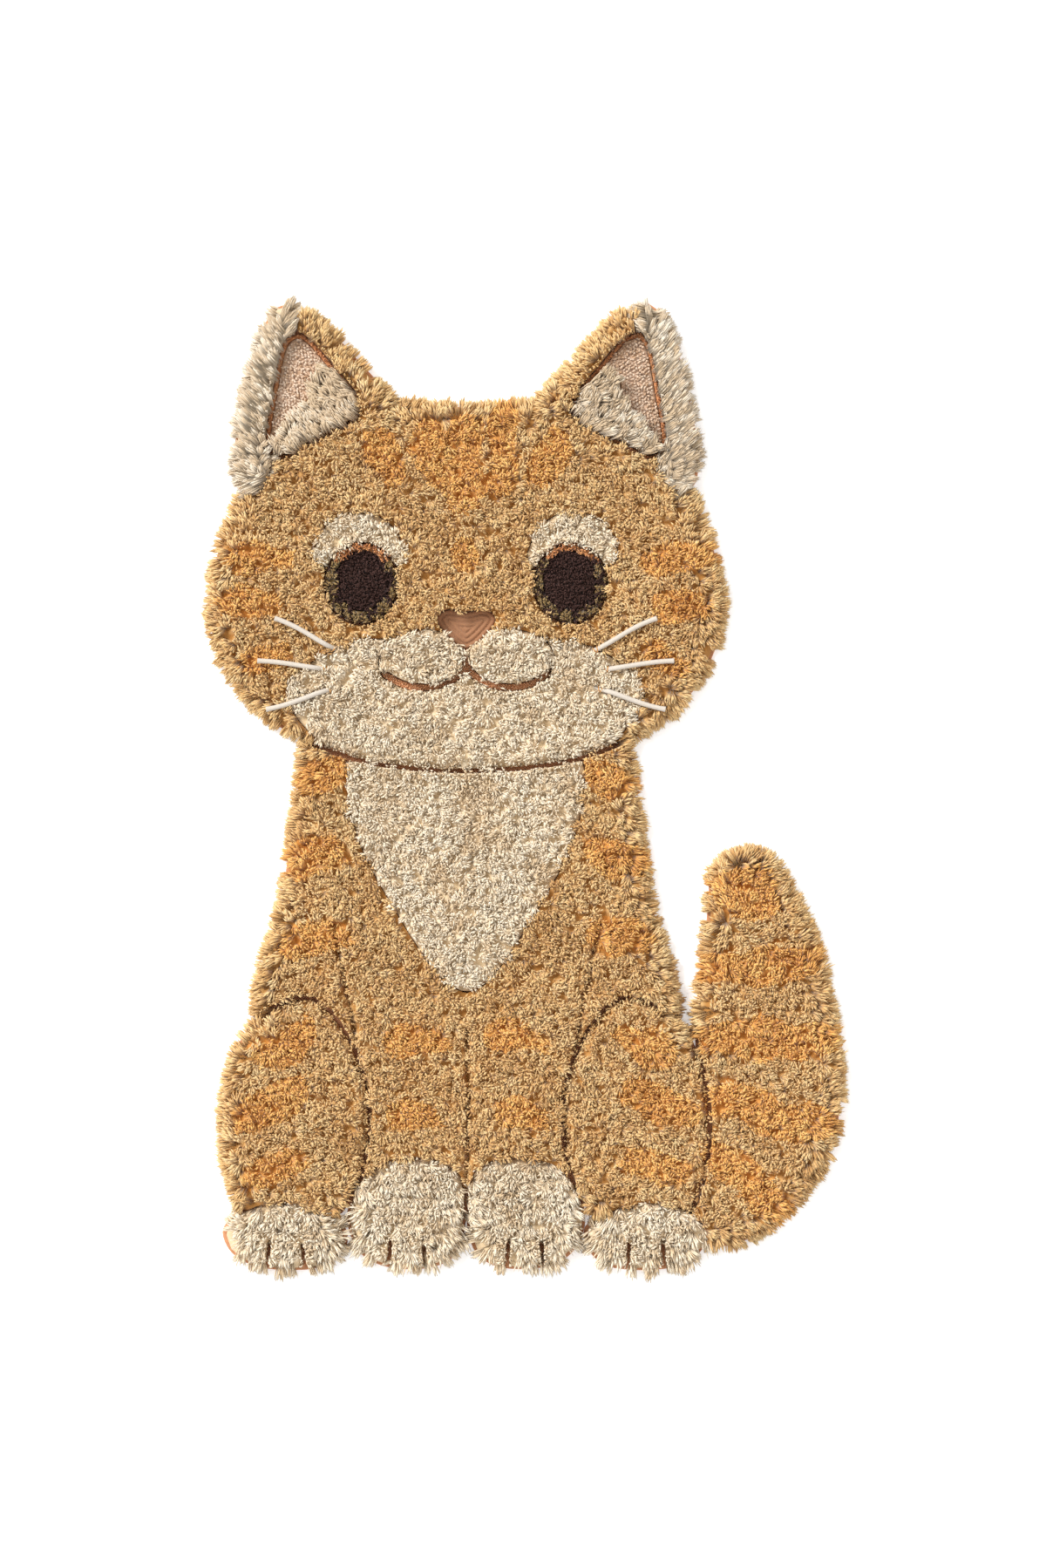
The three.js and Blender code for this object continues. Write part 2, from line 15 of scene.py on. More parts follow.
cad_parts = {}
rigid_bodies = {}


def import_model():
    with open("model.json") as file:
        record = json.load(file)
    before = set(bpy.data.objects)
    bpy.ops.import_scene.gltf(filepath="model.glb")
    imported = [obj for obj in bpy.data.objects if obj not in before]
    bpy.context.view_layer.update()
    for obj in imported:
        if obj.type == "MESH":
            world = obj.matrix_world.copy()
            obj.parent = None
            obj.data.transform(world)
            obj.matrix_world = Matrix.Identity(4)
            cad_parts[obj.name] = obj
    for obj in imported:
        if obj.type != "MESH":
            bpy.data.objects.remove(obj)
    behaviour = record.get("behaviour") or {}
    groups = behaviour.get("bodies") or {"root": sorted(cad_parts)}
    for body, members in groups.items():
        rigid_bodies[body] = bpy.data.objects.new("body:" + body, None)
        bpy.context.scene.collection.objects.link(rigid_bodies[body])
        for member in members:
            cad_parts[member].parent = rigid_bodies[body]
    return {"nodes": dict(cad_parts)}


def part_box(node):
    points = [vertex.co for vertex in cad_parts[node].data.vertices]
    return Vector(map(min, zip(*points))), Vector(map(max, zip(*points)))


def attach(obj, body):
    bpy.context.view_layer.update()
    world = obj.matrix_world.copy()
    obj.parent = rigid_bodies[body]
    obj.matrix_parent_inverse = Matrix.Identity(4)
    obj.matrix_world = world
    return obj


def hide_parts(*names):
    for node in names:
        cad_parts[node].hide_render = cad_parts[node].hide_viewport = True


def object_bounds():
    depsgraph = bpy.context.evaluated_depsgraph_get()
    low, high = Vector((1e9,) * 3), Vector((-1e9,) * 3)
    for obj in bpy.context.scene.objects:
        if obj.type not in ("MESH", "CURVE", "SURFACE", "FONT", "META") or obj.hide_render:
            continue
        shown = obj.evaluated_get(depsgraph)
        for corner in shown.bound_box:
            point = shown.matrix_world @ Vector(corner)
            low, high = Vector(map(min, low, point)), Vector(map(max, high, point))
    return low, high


MM = 0.001
FULL_TURN = 2 * np.pi
FAR = 1e9
TINY = 1e-9
SAME = {"decimals": 2, "gap": 1e-5}  # corners that are this near are one
SEEDS = {"nose": 71, "cloth": 72, "fields": 100, "bars": 5, "bare": 17, "flow": 11, "tone": 3}


def table(columns, *rows):
    """A table's rows, each under the names of its columns."""
    return [dict(zip(columns.split(), row)) for row in rows]


# The photograph: its size in pixels, and where the rug's box stands in it.
PHOTO = {"wide": 1200, "tall": 1799, "rug_x": 601.5, "rug_y": 904, "rug_tall": 1128}
CAMERA = {"height": 3200, "sensor": 36, "sees": 100000}

# Light from the upper left, on a floor that is nearly white.
KEY_LIGHT = {"strength": 3.4, "spread": 24, "from_left": 40, "from_top": 28}
SKY = 1.0
WHITE = (1, 1, 1, 1)
FLOOR = {"half": 9000, "colour": (0.9, 0.9, 0.9), "glow": 0.3}

# Colours as the eye sees them, from 0 to 255. Each root colour is painted shade: a strand is darker at its
# root than at its tip.
YARNS = table(
    "yarn tip root",
    ("tan", (238, 201, 140), (172, 120, 58)),
    ("ginger", (246, 191, 108), (184, 118, 48)),
    ("cream", (247, 232, 206), (209, 184, 146)),
    ("ecru", (234, 221, 200), (198, 176, 144)),
    ("pink", (226, 200, 174), (188, 148, 117)),
    ("rust", (226, 158, 106), (180, 118, 74)),
    # The next row is the rust yarn again with painted light: lighter, so that the mouth's line stands out of
    # the shade of its deep groove.
    ("coral", (252, 194, 146), (216, 150, 104)),
    ("copper", (216, 144, 84), (150, 92, 50)),
    ("dark", (74, 50, 44), (18, 11, 10)),
    ("olive", (158, 128, 76), (84, 62, 30)),
)
COTTONS = table(
    "cotton name colour",
    ("brown", "nose_yarn", (166, 118, 84)),
    ("cord", "whisker_cotton", (208, 197, 183)),
    ("thread", "sewing_thread", (226, 158, 66)),
)

# How a light strand is bleached and a dark one deep, and the grain of yarn, canvas and felted cotton.
BLEACHED = {"by": 0.28, "towards": 235}
DEEP = (0.86, 0.8, 0.72)
SHEEN = {"dark": 0.03, "light": 0.2}
GRAIN = {"apart": 1000, "stretch": 0.12, "scale": 1.7, "light": (0.8, 1.16)}
WEAVE = {"colour": (234, 166, 120), "light": (0.6, 1.1), "dull": 0.82, "dye": 260}
THREADS = {"Scale": 320, "Distortion": 0.4, "Detail": 1}
FELT = {"scale": 1500, "patches": 400, "light": (0.8, 1.12), "dull": 0.9}

# How each kind of pile stands. Shag is short strands that lie over domed tufts.
# Their body lies under the slab's top by "under", and by "valley" more between two tufts.
SHAG = {
    "curls": True, "sides": True, "every": 10.4, "strands": 23, "wide": 2.05, "longer": 1,
    "lean": (0.3, 1.1), "rim_lean": 1.2, "stray": 0.55, "uneven": 1.4, "rows": 1, "turn": 0,
    "jitter": 0.3, "margin": 0, "bare": 0.02, "clear": False, "pull": 2.4, "tone": 0, "under": 1.5,
    "valley": 7.5, "pitch": 3,
}
CREVICE = 5.8  # this far from the middle of a tuft its dome ends
ASKEW = (0.3, 0.2, 1)  # no tuft faces quite this way, so the ways across a tuft are taken from it
THICK = (0.75, 1.25)  # how much strands differ in thickness
OFF_FLOOR = {"root": 1, "ring": 0.2, "tip": 0.8}  # how far above the floor each part of a strand stays
CURL = {
    "long": 10, "differs": (0.75, 1.25), "longer": 1, "sunk": 0.45, "ring": 0.75, "bend": 0.6,
    "reach": 4.6, "out": 0.2, "outer": 0.6, "up": 0.35, "falls": 0.9, "lean": 1.1, "combed": 0.9,
    "stray": 0.15, "over": 0.4,
}

# Other pile is tufts whose strands open to a dome of tips.
TUFT = {"differs": (0.82, 1.12), "flatter": 0.6}
LONG = {
    **SHAG, "curls": False, "every": 8, "wide": 1.6, "ring": 0.8, "curl": 0.7, "sunk": 0.55,
    "spread": 4.4, "gather": 0.85, "dome": 2.5, "uneven": 1.2, "under": 3.5, "valley": 3.5,
}
LOW = {
    **SHAG, "curls": False, "sides": False, "strands": 1, "ring": 0.8, "curl": 0.2, "sunk": 0.76,
    "spread": 0.5, "gather": 0.5, "dome": 0, "uneven": 0.6, "valley": 0,
}
KINDS = {
    "shag": SHAG,
    "puff": {**SHAG, "longer": 1.2, "lean": (0.4, 1.1)},
    "paw": {**SHAG, "longer": 1.3, "comb": (0, -1), "lean": (0.5, 1.1), "bare": 0.4, "clear": True},
    "floppy": {
        **LONG, "long": 19, "wide": 1.9, "comb": (0.7, 0.7), "lean": (0.9, 1.25), "stray": 0.4,
        "tone": -0.9, "valley": 1.5,
    },
    "rope": {
        **LONG, "every": 7, "long": 15, "wide": 1.5, "spread": 3.6, "gather": 0.7, "dome": 4,
        "uneven": 0.6, "lean": (1.1, 1.25), "rim_lean": 1.8, "stray": 0.3, "twist": 0.55,
        "bare": 0.3, "pull": 40, "tone": -0.6, "valley": 6,
    },
    "curly": {
        **LONG, "every": 4, "strands": 5, "long": 8, "stray": 1.5, "spread": 2.4, "dome": 1.5,
        "valley": 2, "pitch": 3.5,
    },
    "velour": {
        **LOW, "every": 3.2, "strands": 3, "long": 7, "wide": 1.9, "lean": (0.2, 1.1),
        "stray": 1.5, "spread": 1.6, "uneven": 1.4, "margin": 0.4, "under": 2.5, "pitch": 5,
    },
    "loops": {
        **LOW, "every": 2.2, "long": 4.6, "wide": 2.2, "lean": (0.1, 0.8), "stray": 1.5,
        "margin": 0.7, "under": 1.8, "pitch": 4,
    },
}
KINDS["rows"] = {
    **KINDS["loops"], "every": 3.6, "strands": 2, "wide": 2.7, "long": 7, "comb": (0.8, 0.6),
    "lean": (0.7, 1.1), "stray": 0.5, "spread": 1.2, "uneven": 1, "rows": 1.1, "turn": 0.6,
    "jitter": 0.12, "pitch": 5,
}

# The body under the strands: its painted shade, lighter under a tuft and darker beside it and low down, and
# how its rim is drawn in.
UNDERCOAT = {"middle": 0.7, "falls": 0.7, "clear": 0.3, "corners": 5, "inset": 2, "edge": 3, "base": 1}

# The rim, where long strands hang over the cloth's edge, and the walls of the lines between fields.
COMBED = {"from": 3, "within": 28, "fall": 1.3, "longer": 0.7, "gather": 0.8, "straighter": 0.6}
SIDES = {"every": 5, "probe": 1.5, "beyond": 9, "at_rim": 4.5, "tone": -0.2, "level": 1, "tilt": 0.12}
FRINGE = {
    "levels": (6, 12.5), "strands": 10, "long": 16, "wide": 1.8, "ring": 0.85, "curl": 0.3,
    "sunk": 0.5, "spread": 3.2, "gather": 0.8, "dome": 1.6, "uneven": 1, "out": 1, "up": -0.35,
    "inside": 3, "shaken": 1.2, "stray": 0.2,
}
WALL = {
    **FRINGE, "levels": (6, 11, 17), "strands": 4, "long": 7.5, "wide": 2, "spread": 1.4,
    "dome": 0, "uneven": 0.6, "out": 0, "up": 1, "inside": 1.9, "shaken": 0.5, "stray": 0.15,
}
NEAR = {"edge": 7, "meets": 3.5, "rim": 5}  # tells a line from a meeting and from the rim
CARVED = {"margin": 0.6, "lean": 0.6}  # how tufts beside a carved line stand back and lean away
FLOW = {"reach": 90, "turns": 2.6}  # how the lean of the pile wanders over the rug
WAVES = {"count": 7, "differ": (0.7, 1.5)}  # what such wandering is made of
BARE = {"within": 10, "reach": 18}  # where the pile is thin at the rim, so that the cloth shows
TONES = {"tuft": 0.42, "strand": 0.36, "wide": 0.3, "reach": 70}  # how light and dark differ

# Which field has which pile and yarn, and which have ginger bars.
ONE, BOTH = {}, {"left": -1, "right": 1}
FIELDS = table(
    "node sides kind yarn",
    ("head", ONE, "shag", "tan"),
    ("trunk", ONE, "shag", "tan"),
    ("tail", ONE, "shag", "tan"),
    ("haunch", BOTH, "shag", "tan"),
    ("muzzle", ONE, "shag", "cream"),
    ("bib", ONE, "shag", "cream"),
    ("brow", BOTH, "shag", "cream"),
    ("muzzle_puff", BOTH, "puff", "cream"),
    ("forepaw", BOTH, "paw", "cream"),
    ("hindpaw", BOTH, "paw", "cream"),
    ("ear_tuft", BOTH, "floppy", "ecru"),
    ("ear_rim", BOTH, "rope", "ecru"),
    ("ear_lining", BOTH, "rows", "pink"),
    ("ear_line", BOTH, "loops", "rust"),
    # The mouth line's yarn is the rust yarn painted lighter, as painted light.
    ("mouth_line", ONE, "loops", "coral"),
    ("eye", BOTH, "velour", "dark"),
    ("eye_ring", BOTH, "curly", "olive"),
)
BARRED = ("head", "trunk", "tail", "haunch")
OPEN = ("muzzle", "bib", "muzzle_puff", "forepaw", "hindpaw")  # these lean away from a carved line
EYE_RING = {"mixed": "dark", "share": 0.4, "above": 234}  # the yarn mixed in, and where it is copper

SLOTS = {
    "tan": "tan_shag",
    "cream": "cream_shag",
    "ecru": "cream_shag",
    "pink": "pink_pile",
    "rust": "rust_loops",
    "coral": "rust_loops",
    "dark": "dark_velour",
    "olive": "olive_pile",
}

# Ginger bars of the coat, from the kitten's own middle line. Those off it are on both sides, but the tail's.
BARS = table(
    "at x y long half_wide turn",
    ("forehead", 0, 330, 100, 22, 90),
    ("beside it", 38, 346, 84, 18, 82),
    ("temple", 84, 338, 66, 17, 64),
    ("cheek top", 216, 236, 74, 16, 6),
    ("cheek", 222, 186, 64, 17, -6),
    ("jowl", 206, 130, 50, 14, -24),
    ("nose bridge", 0, 238, 40, 13, 90),
    ("shoulder", 146, 6, 54, 17, -22),
    ("ribs", 152, -74, 70, 20, -18),
    ("flank", 160, -158, 74, 20, -14),
    ("foreleg", 52, -262, 64, 17, -8),
    ("shin", 56, -340, 54, 17, -6),
    ("haunch top", 186, -268, 76, 18, -30),
    ("haunch", 200, -328, 84, 20, -24),
    ("haunch foot", 196, -392, 70, 17, -16),
    ("tail tip", 294, -110, 66, 29, 0),
    ("tail upper", 306, -186, 120, 20, 5),
    ("tail bend", 314, -262, 140, 21, 0),
    ("tail lower", 316, -338, 140, 21, -14),
    ("tail root", 290, -406, 110, 20, -40),
)
BAR_EDGE = {"ragged": 0.6, "wander": 4, "reach": 60, "taper": 0.5}

# The nose's ribs, and the cloth with its folded hem. A pitch or outline is how far apart a mesh's points are.
RIBS = {"apart": 5.2, "tall": 2.5, "round": 0.7, "foot": 6.2, "pitch": 1, "outline": 1.5}
HEM = {"edge": 1.1, "drop": 1.1, "top": 2.3, "fold": 9, "fold_wide": 2, "step": 0.5}
CANVAS = {"pitch": 16, "outline": 5}

# The whiskers: where each right one is sewn on, the way it points and how far it bows.
WHISKER = {"diameter": 5, "drawn": 0.95, "sides": 12, "steps": 80, "relief": 0.07, "turns": 9, "plies": 3}
WHISKER_ENDS = {"flare": 0.12, "flare_long": 0.06, "tuck": 0.25, "tuck_long": 0.04}
WHISKERS = table(
    "at x y degrees bow",
    ("upper", 128, 138, 24, 1),
    ("middle", 138, 120, 5, 0.6),
    ("lower", 132, 102, -15, -0.8),
)
WHISKER_ROUTE = table(
    "along aside height",
    (0, 0, 15.5),
    (3, 0, 16),
    (7, 0.1, 17.9),
    (11, 0.2, 20.6),
    (15, 0.4, 23.1),
    (19, 0.7, 24.7),
    (24, 1.2, 25.3),
    (30, 1.9, 25.4),
    (36, 2.7, 25.3),
    (42, 3.4, 25.1),
    (48, 4, 25.2),
    (54, 4.4, 25.3),
    (60, 4.6, 25.2),
    (66, 4.6, 25.1),
    (72, 4.3, 25),
    (77, 3.8, 25),
)
STITCH = {"thick": 0.9, "at": (9, 12.5), "reach": 3.4, "sides": 6, "steps": 12, "slant": 1.2, "dips": 0.2}

# How outlines, lattices and blocks are laid out.
NOT_BESIDE = 0.35  # a block's inner points stay this share of their spacing off its outline
DRAWN_CLEAR = 0.93  # a corner that is drawn in stays at least this share of the gap off the outline
FLAT = 0.05  # corners this near the lowest one belong to the flat underside
OVERHEAD = 100  # higher than any pile
ROW_STEP = 0.866  # how far apart the rows of a lattice are when its points are 1 apart
FINER = 6  # how many points a smooth outline has for each corner of a plain one

for leftover in list(bpy.data.objects):
    bpy.data.objects.remove(leftover)
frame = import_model()
CAD_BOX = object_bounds()


# Plan geometry


def unit(vectors):
    """The vectors at a length of 1."""
    return vectors / np.maximum(np.linalg.norm(vectors, axis=-1, keepdims=True), TINY)


def corners_of(node):
    """The corners and triangles of a CAD node, with shared corners merged."""
    mesh = frame["nodes"][node].data
    mesh.calc_loop_triangles()
    points = np.empty(len(mesh.vertices) * 3)
    mesh.vertices.foreach_get("co", points)
    triangles = np.empty(len(mesh.loop_triangles) * 3, int)
    mesh.loop_triangles.foreach_get("vertices", triangles)
    rounded = np.round(points.reshape(-1, 3) / MM, SAME["decimals"])
    merged, index = np.unique(rounded, axis=0, return_inverse=True)
    return merged, index.reshape(-1)[triangles].reshape(-1, 3)


def outlines_of(node):
    """The outlines of a node's flat underside, counter-clockwise round it and clockwise round its holes."""
    points, triangles = corners_of(node)
    low = points[:, 2].min()
    flat = triangles[(points[triangles][:, :, 2] < low + FLAT).all(axis=1)]
    edges = {(a, b) for tri in flat.tolist() for a, b in zip(tri, tri[1:] + tri[:1])}
    following = {b: a for a, b in edges if (b, a) not in edges}
    loops = []
    while following:
        start, at = following.popitem()
        loop = [start]
        while at != start:
            loop.append(at)
            at = following.pop(at)
        loops.append(points[loop][:, :2])
    return loops


def spaced(loop, every):
    """Points at even steps along a closed outline."""
    ends = np.vstack([loop, loop[:1]])
    reached = np.concatenate([[0], np.cumsum(np.linalg.norm(np.diff(ends, axis=0), axis=1))])
    at = np.arange(0, reached[-1] - every / 2, every)
    return np.column_stack([np.interp(at, reached, ends[:, axis]) for axis in (0, 1)])


def edges_of(loops):
    """Where each edge of the outlines starts and ends."""
    starts = np.vstack(loops)
    ends = np.vstack([np.roll(loop, -1, axis=0) for loop in loops])
    return starts, ends


def out_across(a, b):
    """The way out across each edge from a to b."""
    along = b - a
    return unit(np.column_stack([along[:, 1], -along[:, 0]]))


def holds(loops, xy):
    """Whether each point lies inside the outlines, by how many edges lie beside it."""
    (ax, ay), (bx, by) = (side.T[:, None, :] for side in edges_of(loops))
    x, y = xy[:, :1], xy[:, 1:]
    level = (ay > y) != (by > y)
    rise = np.where(level, by - ay, 1)
    crossing = level & (x < (bx - ax) * (y - ay) / rise + ax)
    return crossing.sum(axis=1) % 2 == 1


def nearest_edge(loops, xy):
    """How far each point is from the outlines, and the way out across the nearest edge."""
    a, b = edges_of(loops)
    along = b - a
    share = ((xy[:, None] - a) * along).sum(axis=2) / (along**2).sum(axis=1)
    foot = a + np.clip(share, 0, 1)[:, :, None] * along
    gap = np.linalg.norm(xy[:, None] - foot, axis=2)
    nearest = gap.argmin(axis=1)
    return gap[np.arange(len(xy)), nearest], out_across(a, b)[nearest]


def turned(xy, turn):
    """Points or ways in the plan, turned counter-clockwise."""
    return xy @ np.array([[np.cos(turn), np.sin(turn)], [-np.sin(turn), np.cos(turn)]])


def curve(a, b, c, d, t):
    """The point a share t of the way from b to c, on a smooth curve that also heeds a and d."""
    return 0.5 * (2 * b + (c - a) * t + (2 * a - 5 * b + 4 * c - d) * t**2 + (3 * b - a - 3 * c + d) * t**3)


def lattice(loops, every, rng, jitter=0.3, turn=0.0, rows=1.0):
    """Points all over the inside of the outlines, in even rows, shaken a little."""
    corners = np.vstack(loops)
    middle = corners.mean(axis=0)
    reach = np.linalg.norm(corners - middle, axis=1).max() + every
    count = int(reach / every) + 1
    column, row = np.meshgrid(np.arange(-count, count + 1), np.arange(-count - 2, count + 3))
    x = (column + 0.5 * (row % 2)) * every
    y = row * every * ROW_STEP * rows
    xy = np.unique(np.column_stack([x.ravel(), y.ravel()]), axis=0)
    xy = turned(xy, turn) + middle
    xy += rng.uniform(-jitter, jitter, xy.shape) * every
    return xy[holds(loops, xy)]


def ripple(xy, reach, seed):
    """Smooth unevenness over the plan, mostly from -1 to 1, with its hills about reach apart."""
    rng = np.random.default_rng(seed)
    total = np.zeros(len(xy))
    for _ in range(WAVES["count"]):
        turn, phase = rng.uniform(0, FULL_TURN, 2)
        along = xy @ [np.cos(turn), np.sin(turn)]
        total += np.sin(FULL_TURN * along / (reach * rng.uniform(*WAVES["differ"])) + phase)
    return total / np.sqrt(WAVES["count"])


class Surface:
    """The upper surface of a CAD node."""

    def __init__(self, node):
        points, triangles = corners_of(node)
        self.tree = BVHTree.FromPolygons(points.tolist(), triangles.tolist())
        self.low = points[:, 2].min()

    def heights(self, xy, beside=None):
        """Its height over each point, or the one given for a point beside it."""
        found = [self.tree.ray_cast(Vector((x, y, OVERHEAD)), Vector((0, 0, -1)))[0] for x, y in xy]
        beside = np.full(len(xy), self.low) if beside is None else beside
        return np.array([other if hit is None else hit.z for hit, other in zip(found, beside)])


# Parts of a mesh


def part(points, triangles, yarn, tone, along, grain=None):
    """Points and triangles, the yarn of each triangle, and what the materials read at each point."""
    count = len(points)
    return {
        "points": points,
        "triangles": triangles,
        "yarn": yarn,
        "tone": np.broadcast_to(tone, count),
        # along: how far a point is from its yarn's painted root shade towards the tip colour
        "along": np.broadcast_to(along, count),
        "grain": points if grain is None else grain,
    }


def strands(root, tip, kind, curl, ring, yarn, tone, rng, kept=slice(None)):
    """Closed three-sided strands, pointed at the root, widest at their ring and blunt at the tip."""
    bend = rng.normal(0, curl, root.shape)
    radius = kind["wide"] / 2 * rng.uniform(*THICK, len(root))
    tone = tone + rng.normal(0, TONES["strand"], len(root))
    root, tip, bend, radius, yarn, tone = (values[kept] for values in (root, tip, bend, radius, yarn, tone))
    axis = unit(tip - root)
    side = unit(np.cross(axis, rng.normal(size=axis.shape)))
    other = np.cross(axis, side)
    long = np.linalg.norm(tip - root, axis=1)
    own = rng.uniform(0, GRAIN["apart"], (len(root), 3))
    centre = root + ring * (tip - root) + bend
    centre[:, 2] = np.maximum(centre[:, 2], radius + OFF_FLOOR["ring"])
    points, grain = [root], [own]
    for angle in np.arange(3) * FULL_TURN / 3:
        way = np.cos(angle) * side + np.sin(angle) * other
        points.append(centre + radius[:, None] * way)
        run = ring * long * GRAIN["stretch"]
        grain.append(own + np.column_stack([radius * np.cos(angle), radius * np.sin(angle), run]))
    points.append(tip)
    grain.append(own + np.column_stack([0 * long, 0 * long, long * GRAIN["stretch"]]))
    faces = np.array([(0, 2, 1), (0, 3, 2), (0, 1, 3), (4, 1, 2), (4, 2, 3), (4, 3, 1)])
    triangles = np.arange(len(root))[:, None, None] * len(points) + faces
    return part(
        np.stack(points, axis=1).reshape(-1, 3),
        triangles.reshape(-1, 3),
        np.repeat(yarn, len(faces)),
        np.repeat(tone, len(points)),
        # along: 0 at the root, which is painted in shade, up to 1 at the tip
        np.tile([0, ring, ring, ring, 1], len(root)),
        np.stack(grain, axis=1).reshape(-1, 3),
    )


def tufts(at, axis, facing, combed, kind, yarn, tone, rng):
    """Tufts whose strands rise from near the middle and open to a dome of tips."""
    at, axis, facing, combed, yarn, tone = (
        np.repeat(values, kind["strands"], axis=0) for values in (at, axis, facing, combed, yarn, tone)
    )
    side = unit(np.cross(facing, ASKEW))
    other = np.cross(facing, side)
    angle = rng.uniform(0, FULL_TURN, len(at))
    share = np.sqrt(rng.uniform(0, 1, len(at)))
    radial = np.cos(angle)[:, None] * side + np.sin(angle)[:, None] * other
    aside = (kind["spread"] * share)[:, None] * radial
    dip = (kind["dome"] * (1 - TUFT["flatter"] * combed) * share**2)[:, None] * facing
    long = kind["long"] * (1 + COMBED["longer"] * combed) * rng.uniform(*TUFT["differs"], len(at))
    gather = kind["gather"] + (COMBED["gather"] - kind["gather"]) * combed
    root = at - (kind["sunk"] * long)[:, None] * axis + gather[:, None] * aside
    tip = at + ((1 - kind["sunk"]) * long)[:, None] * axis + aside - dip
    tip += rng.normal(0, kind["uneven"] / 2, tip.shape)
    root[:, 2] = np.maximum(root[:, 2], OFF_FLOOR["root"])
    tip[:, 2] = np.maximum(tip[:, 2], OFF_FLOOR["tip"])
    return strands(root, tip, kind, kind["curl"], kind["ring"], yarn, tone, rng)


def curls(at, height_at, free_at, axis, combed, kind, yarn_at, tone, rng):
    """Short strands that lie over the dome of each tuft, pointing away from its middle."""
    at, axis, combed, tone = (
        np.repeat(values, kind["strands"], axis=0) for values in (at, axis, combed, tone)
    )
    angle = rng.uniform(0, FULL_TURN, len(at))
    share = np.sqrt(rng.uniform(0, 1, len(at)))
    radial = np.column_stack([np.cos(angle), np.sin(angle), np.zeros(len(at))])
    place = at + (CURL["reach"] * share)[:, None] * radial
    place[:, 2] = height_at(place, at)
    slope = (CURL["out"] + CURL["outer"] * share)[:, None] * radial
    slope[:, 2] = CURL["up"] - CURL["falls"] * share
    way = slope * (1 - COMBED["straighter"] * combed)[:, None]
    way += axis * (CURL["lean"] + CURL["combed"] * combed)[:, None]
    way = unit(way + rng.normal(0, CURL["stray"], way.shape))
    long = CURL["long"] * kind["longer"] * (1 + CURL["longer"] * combed)
    long *= rng.uniform(*CURL["differs"], len(at))
    root = place - (CURL["sunk"] * long)[:, None] * way
    tip = place + ((1 - CURL["sunk"]) * long)[:, None] * way
    yarn = yarn_at((place + tip)[:, :2] / 2)
    root[:, 2] = np.maximum(root[:, 2], OFF_FLOOR["root"])
    kept = free_at(tip[:, :2]) & free_at((place + tip)[:, :2] / 2)
    return strands(root, tip, kind, CURL["bend"], CURL["ring"], yarn, tone, rng, kept)


def slab(loops, pitch, height_at, bottom, rng, rings=()):
    """A closed block over outlines, with a flat underside and a top as high as height_at says."""
    edges, placed = [], []
    for loop in loops:
        first = sum(len(p) for p in placed)
        placed.append(loop)
        ring = first + np.arange(len(loop))
        edges += list(zip(ring.tolist(), np.roll(ring, -1).tolist()))
    rim = np.vstack(placed)
    inner = [lattice(loops, pitch, rng)]
    for gap in rings:
        inner += [loop - gap * outward(loop) for loop in loops]
    inner = np.vstack(inner)
    inner = inner[holds(loops, inner)]
    gap, _ = nearest_edge(loops, inner)
    inner = inner[gap > NOT_BESIDE * (min(rings) if rings else pitch)]
    xy = np.vstack([rim, inner])
    top = filled(loops, xy, edges)
    base = filled(loops, rim, edges)[:, ::-1]
    a, b = np.array(edges).T
    under = len(xy)
    walls = np.vstack([np.column_stack([a + under, b + under, b]), np.column_stack([a + under, b, a])])
    points = [np.column_stack([xy, height_at(xy)]), np.column_stack([rim, np.full(len(rim), bottom)])]
    return np.vstack(points), np.vstack([top, base + under, walls])


def filled(loops, xy, edges):
    """Triangles between the points, counter-clockwise, inside the outlines alone."""
    made = geometry.delaunay_2d_cdt([Vector(p) for p in xy], edges, [], 0, SAME["gap"])
    assert len(made[0]) == len(xy), "two outlines cross"
    triangles = np.array(made[2])
    corners = xy[triangles]
    triangles = triangles[holds(loops, corners.mean(axis=1))]
    corners = xy[triangles]
    clockwise = np.cross(corners[:, 1] - corners[:, 0], corners[:, 2] - corners[:, 0]) < 0
    triangles[clockwise] = triangles[clockwise][:, ::-1]
    return triangles


def outward(loop):
    """The way out of an outline at each of its corners."""
    out = out_across(*edges_of([loop]))
    return unit(out + np.roll(out, 1, axis=0))


def drawn_in(loops, gap, every):
    """The outlines moved inwards, without the corners that come too near an edge or cross it."""
    moved = []
    for loop in loops:
        fine = spaced(loop, every)
        inner = fine - gap * outward(fine)
        clear, _ = nearest_edge(loops, inner)
        moved.append(inner[(clear > DRAWN_CLEAR * gap) & holds(loops, inner)])
    return moved


def tube(path, radius_at, sides, yarn):
    """A closed tube along a path. radius_at gives the radius for shares along it and angles round it."""
    tangent = unit(np.gradient(path, axis=0))
    side = unit(np.cross(tangent, [0, 0, 1]))
    other = np.cross(side, tangent)
    angle = np.arange(sides) * FULL_TURN / sides
    share = np.linspace(0, 1, len(path))
    reach = radius_at(share[:, None], angle[None, :])[:, :, None]
    ring = np.cos(angle)[None, :, None] * side[:, None] + np.sin(angle)[None, :, None] * other[:, None]
    points = np.vstack([(path[:, None] + reach * ring).reshape(-1, 3), path[:1], path[-1:]])
    first, last = len(points) - 2, len(points) - 1
    triangles = []
    for k in range(sides):
        after = (k + 1) % sides
        row = np.arange(len(path) - 1) * sides
        triangles.append(np.column_stack([row + k, row + after, row + sides + after]))
        triangles.append(np.column_stack([row + k, row + sides + after, row + sides + k]))
        end = (len(path) - 1) * sides
        triangles.append([[first, after, k], [last, end + k, end + after]])
    return part(points, np.vstack(triangles), yarn, 0, 1)


# Materials


def linear(colour):
    """A colour as the materials count it, with its opacity."""
    share = np.array(colour) / 255
    low, high = share / 12.92, ((share + 0.055) / 1.055) ** 2.4
    return (*np.where(share > 0.04045, high, low).tolist(), 1)


